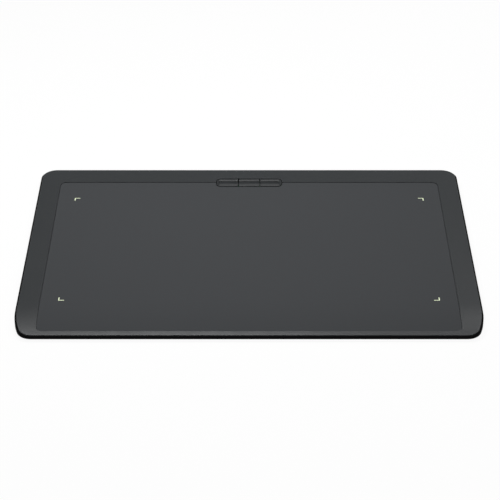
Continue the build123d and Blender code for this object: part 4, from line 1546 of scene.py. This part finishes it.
@dataclass
class Studio:
    """Pale floor that rises into a low wall all round, soft lamps and an even sky.

    Attributes:
        floor_radius: Radius of the flat floor.
        bend_radius: Radius of the bend up to the wall.
        wall_height: Height of the wall over the floor.
        bend_steps: Steps of the bend.
        turn_steps: Steps round the floor.
        paper: Colour of the floor and wall.
        shadow: Share of the real shading that the floor shows over its plain white.
        sky: Level of the light that comes from all round.
        lamps: The soft lamps.
    """

    floor_radius: float = 2.6
    bend_radius: float = 0.5
    wall_height: float = 0.8
    bend_steps: int = 16
    turn_steps: int = 96
    paper: float = 0.82
    shadow: float = 0.07
    sky: float = 0.15
    lamps: tuple[SoftBox, ...] = (
        SoftBox("back_softbox", (-0.15, 0.23, 0.66), (-0.05, -0.08, 0.0), 0.46, 0.12, 0.5),
        SoftBox("top_softbox", (-0.01, 0.05, 0.3), (0.0, 0.0, 0.0), 0.16, 0.12, 0.085),
        SoftBox("side_softbox", (0.4, 0.52, 0.76), (0.1, -0.02, 0.0), 0.3, 0.3, 0.165),
        SoftBox("front_softbox", (0.15, -0.8, 0.95), (0.0, 0.0, 0.0), 0.7, 0.5, 0.155),
    )

    def build(self) -> None:
        """Makes the floor with its wall, the lamps and the sky."""
        self.build_floor()
        for lamp in self.lamps:
            lamp.build()
        self.build_sky()

    def build_floor(self) -> None:
        """Turns the line of floor, bend and wall once round the middle."""
        shape = bmesh.new()
        centre, rim = (shape.verts.new((reach, 0.0, 0.0)) for reach in (0.0, self.floor_radius))
        shape.edges.new((centre, rim))
        bend = bmesh.ops.spin(
            shape, geom=[rim], cent=(self.floor_radius, 0.0, self.bend_radius), axis=(0.0, -1.0, 0.0),
            angle=math.pi / 2, steps=self.bend_steps, use_duplicate=False,
        )["geom_last"]
        top = [part for part in bend if isinstance(part, bmesh.types.BMVert)]
        raised = bmesh.ops.extrude_vert_indiv(shape, verts=top)["verts"]
        bmesh.ops.translate(shape, vec=(0.0, 0.0, self.wall_height - self.bend_radius), verts=raised)
        bmesh.ops.spin(
            shape, geom=shape.verts[:] + shape.edges[:], cent=(0.0, 0.0, 0.0), axis=(0.0, 0.0, 1.0),
            angle=2 * math.pi, steps=self.turn_steps, use_merge=True, use_duplicate=False,
        )
        bmesh.ops.remove_doubles(shape, verts=shape.verts, dist=FLOOR_WELD)
        bmesh.ops.recalc_face_normals(shape, faces=shape.faces)
        lowest = min(shape.faces, key=lambda face: face.calc_center_median().z)
        if lowest.normal.z < 0.0:
            bmesh.ops.reverse_faces(shape, faces=shape.faces)
        for face in shape.faces:
            face.smooth = True
        mesh = bpy.data.meshes.new("studio_floor")
        shape.to_mesh(mesh)
        shape.free()
        mesh.materials.append(self.floor_material())
        put("studio_floor", mesh)

    def floor_material(self) -> bpy.types.Material:
        """Makes paper that shows white to the camera, keeps the shadow and lights as plain paper.

        Returns:
            The material.
        """
        made = bpy.data.materials.new("studio_paper")
        made.use_nodes = True
        tree = Tree(made.node_tree, "OutputMaterial")
        plain = tree.add("BsdfDiffuse", {"Color": (self.paper,) * 3}).outputs["BSDF"]
        shaded = tree.add("BsdfDiffuse", {"Color": WHITE}).outputs["BSDF"]
        white = tree.add("Emission", {"Strength": 1.0}).outputs["Emission"]
        shown = tree.add("MixShader", {"Fac": self.shadow, 1: white, 2: shaded}).outputs["Shader"]
        rays = tree.add("LightPath").outputs
        seen = tree.math("MAXIMUM", rays["Is Camera Ray"], rays["Is Glossy Ray"])
        seen = tree.math("MAXIMUM", seen, rays["Is Transmission Ray"])
        tree.give(Surface=tree.add("MixShader", {"Fac": seen, 1: plain, 2: shown}).outputs["Shader"])
        return made

    def build_sky(self) -> None:
        """Makes the even light from all round."""
        world = bpy.data.worlds.new("studio_sky")
        world.use_nodes = True
        tree = Tree(world.node_tree, "OutputWorld")
        sky = tree.add("Background", {"Color": WHITE, "Strength": self.sky})
        tree.give(Surface=sky.outputs["Background"])
        bpy.context.scene.world = world


def main() -> None:
    """Builds the studio and the tablet."""
    logging.basicConfig(level=logging.INFO, format="%(name)s: %(message)s")
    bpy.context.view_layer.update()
    bpy.context.scene.view_settings.view_transform = "Standard"
    PhotoCamera().build()
    Studio().build()
    Tablet().build()


if __name__ == "__main__":
    main()
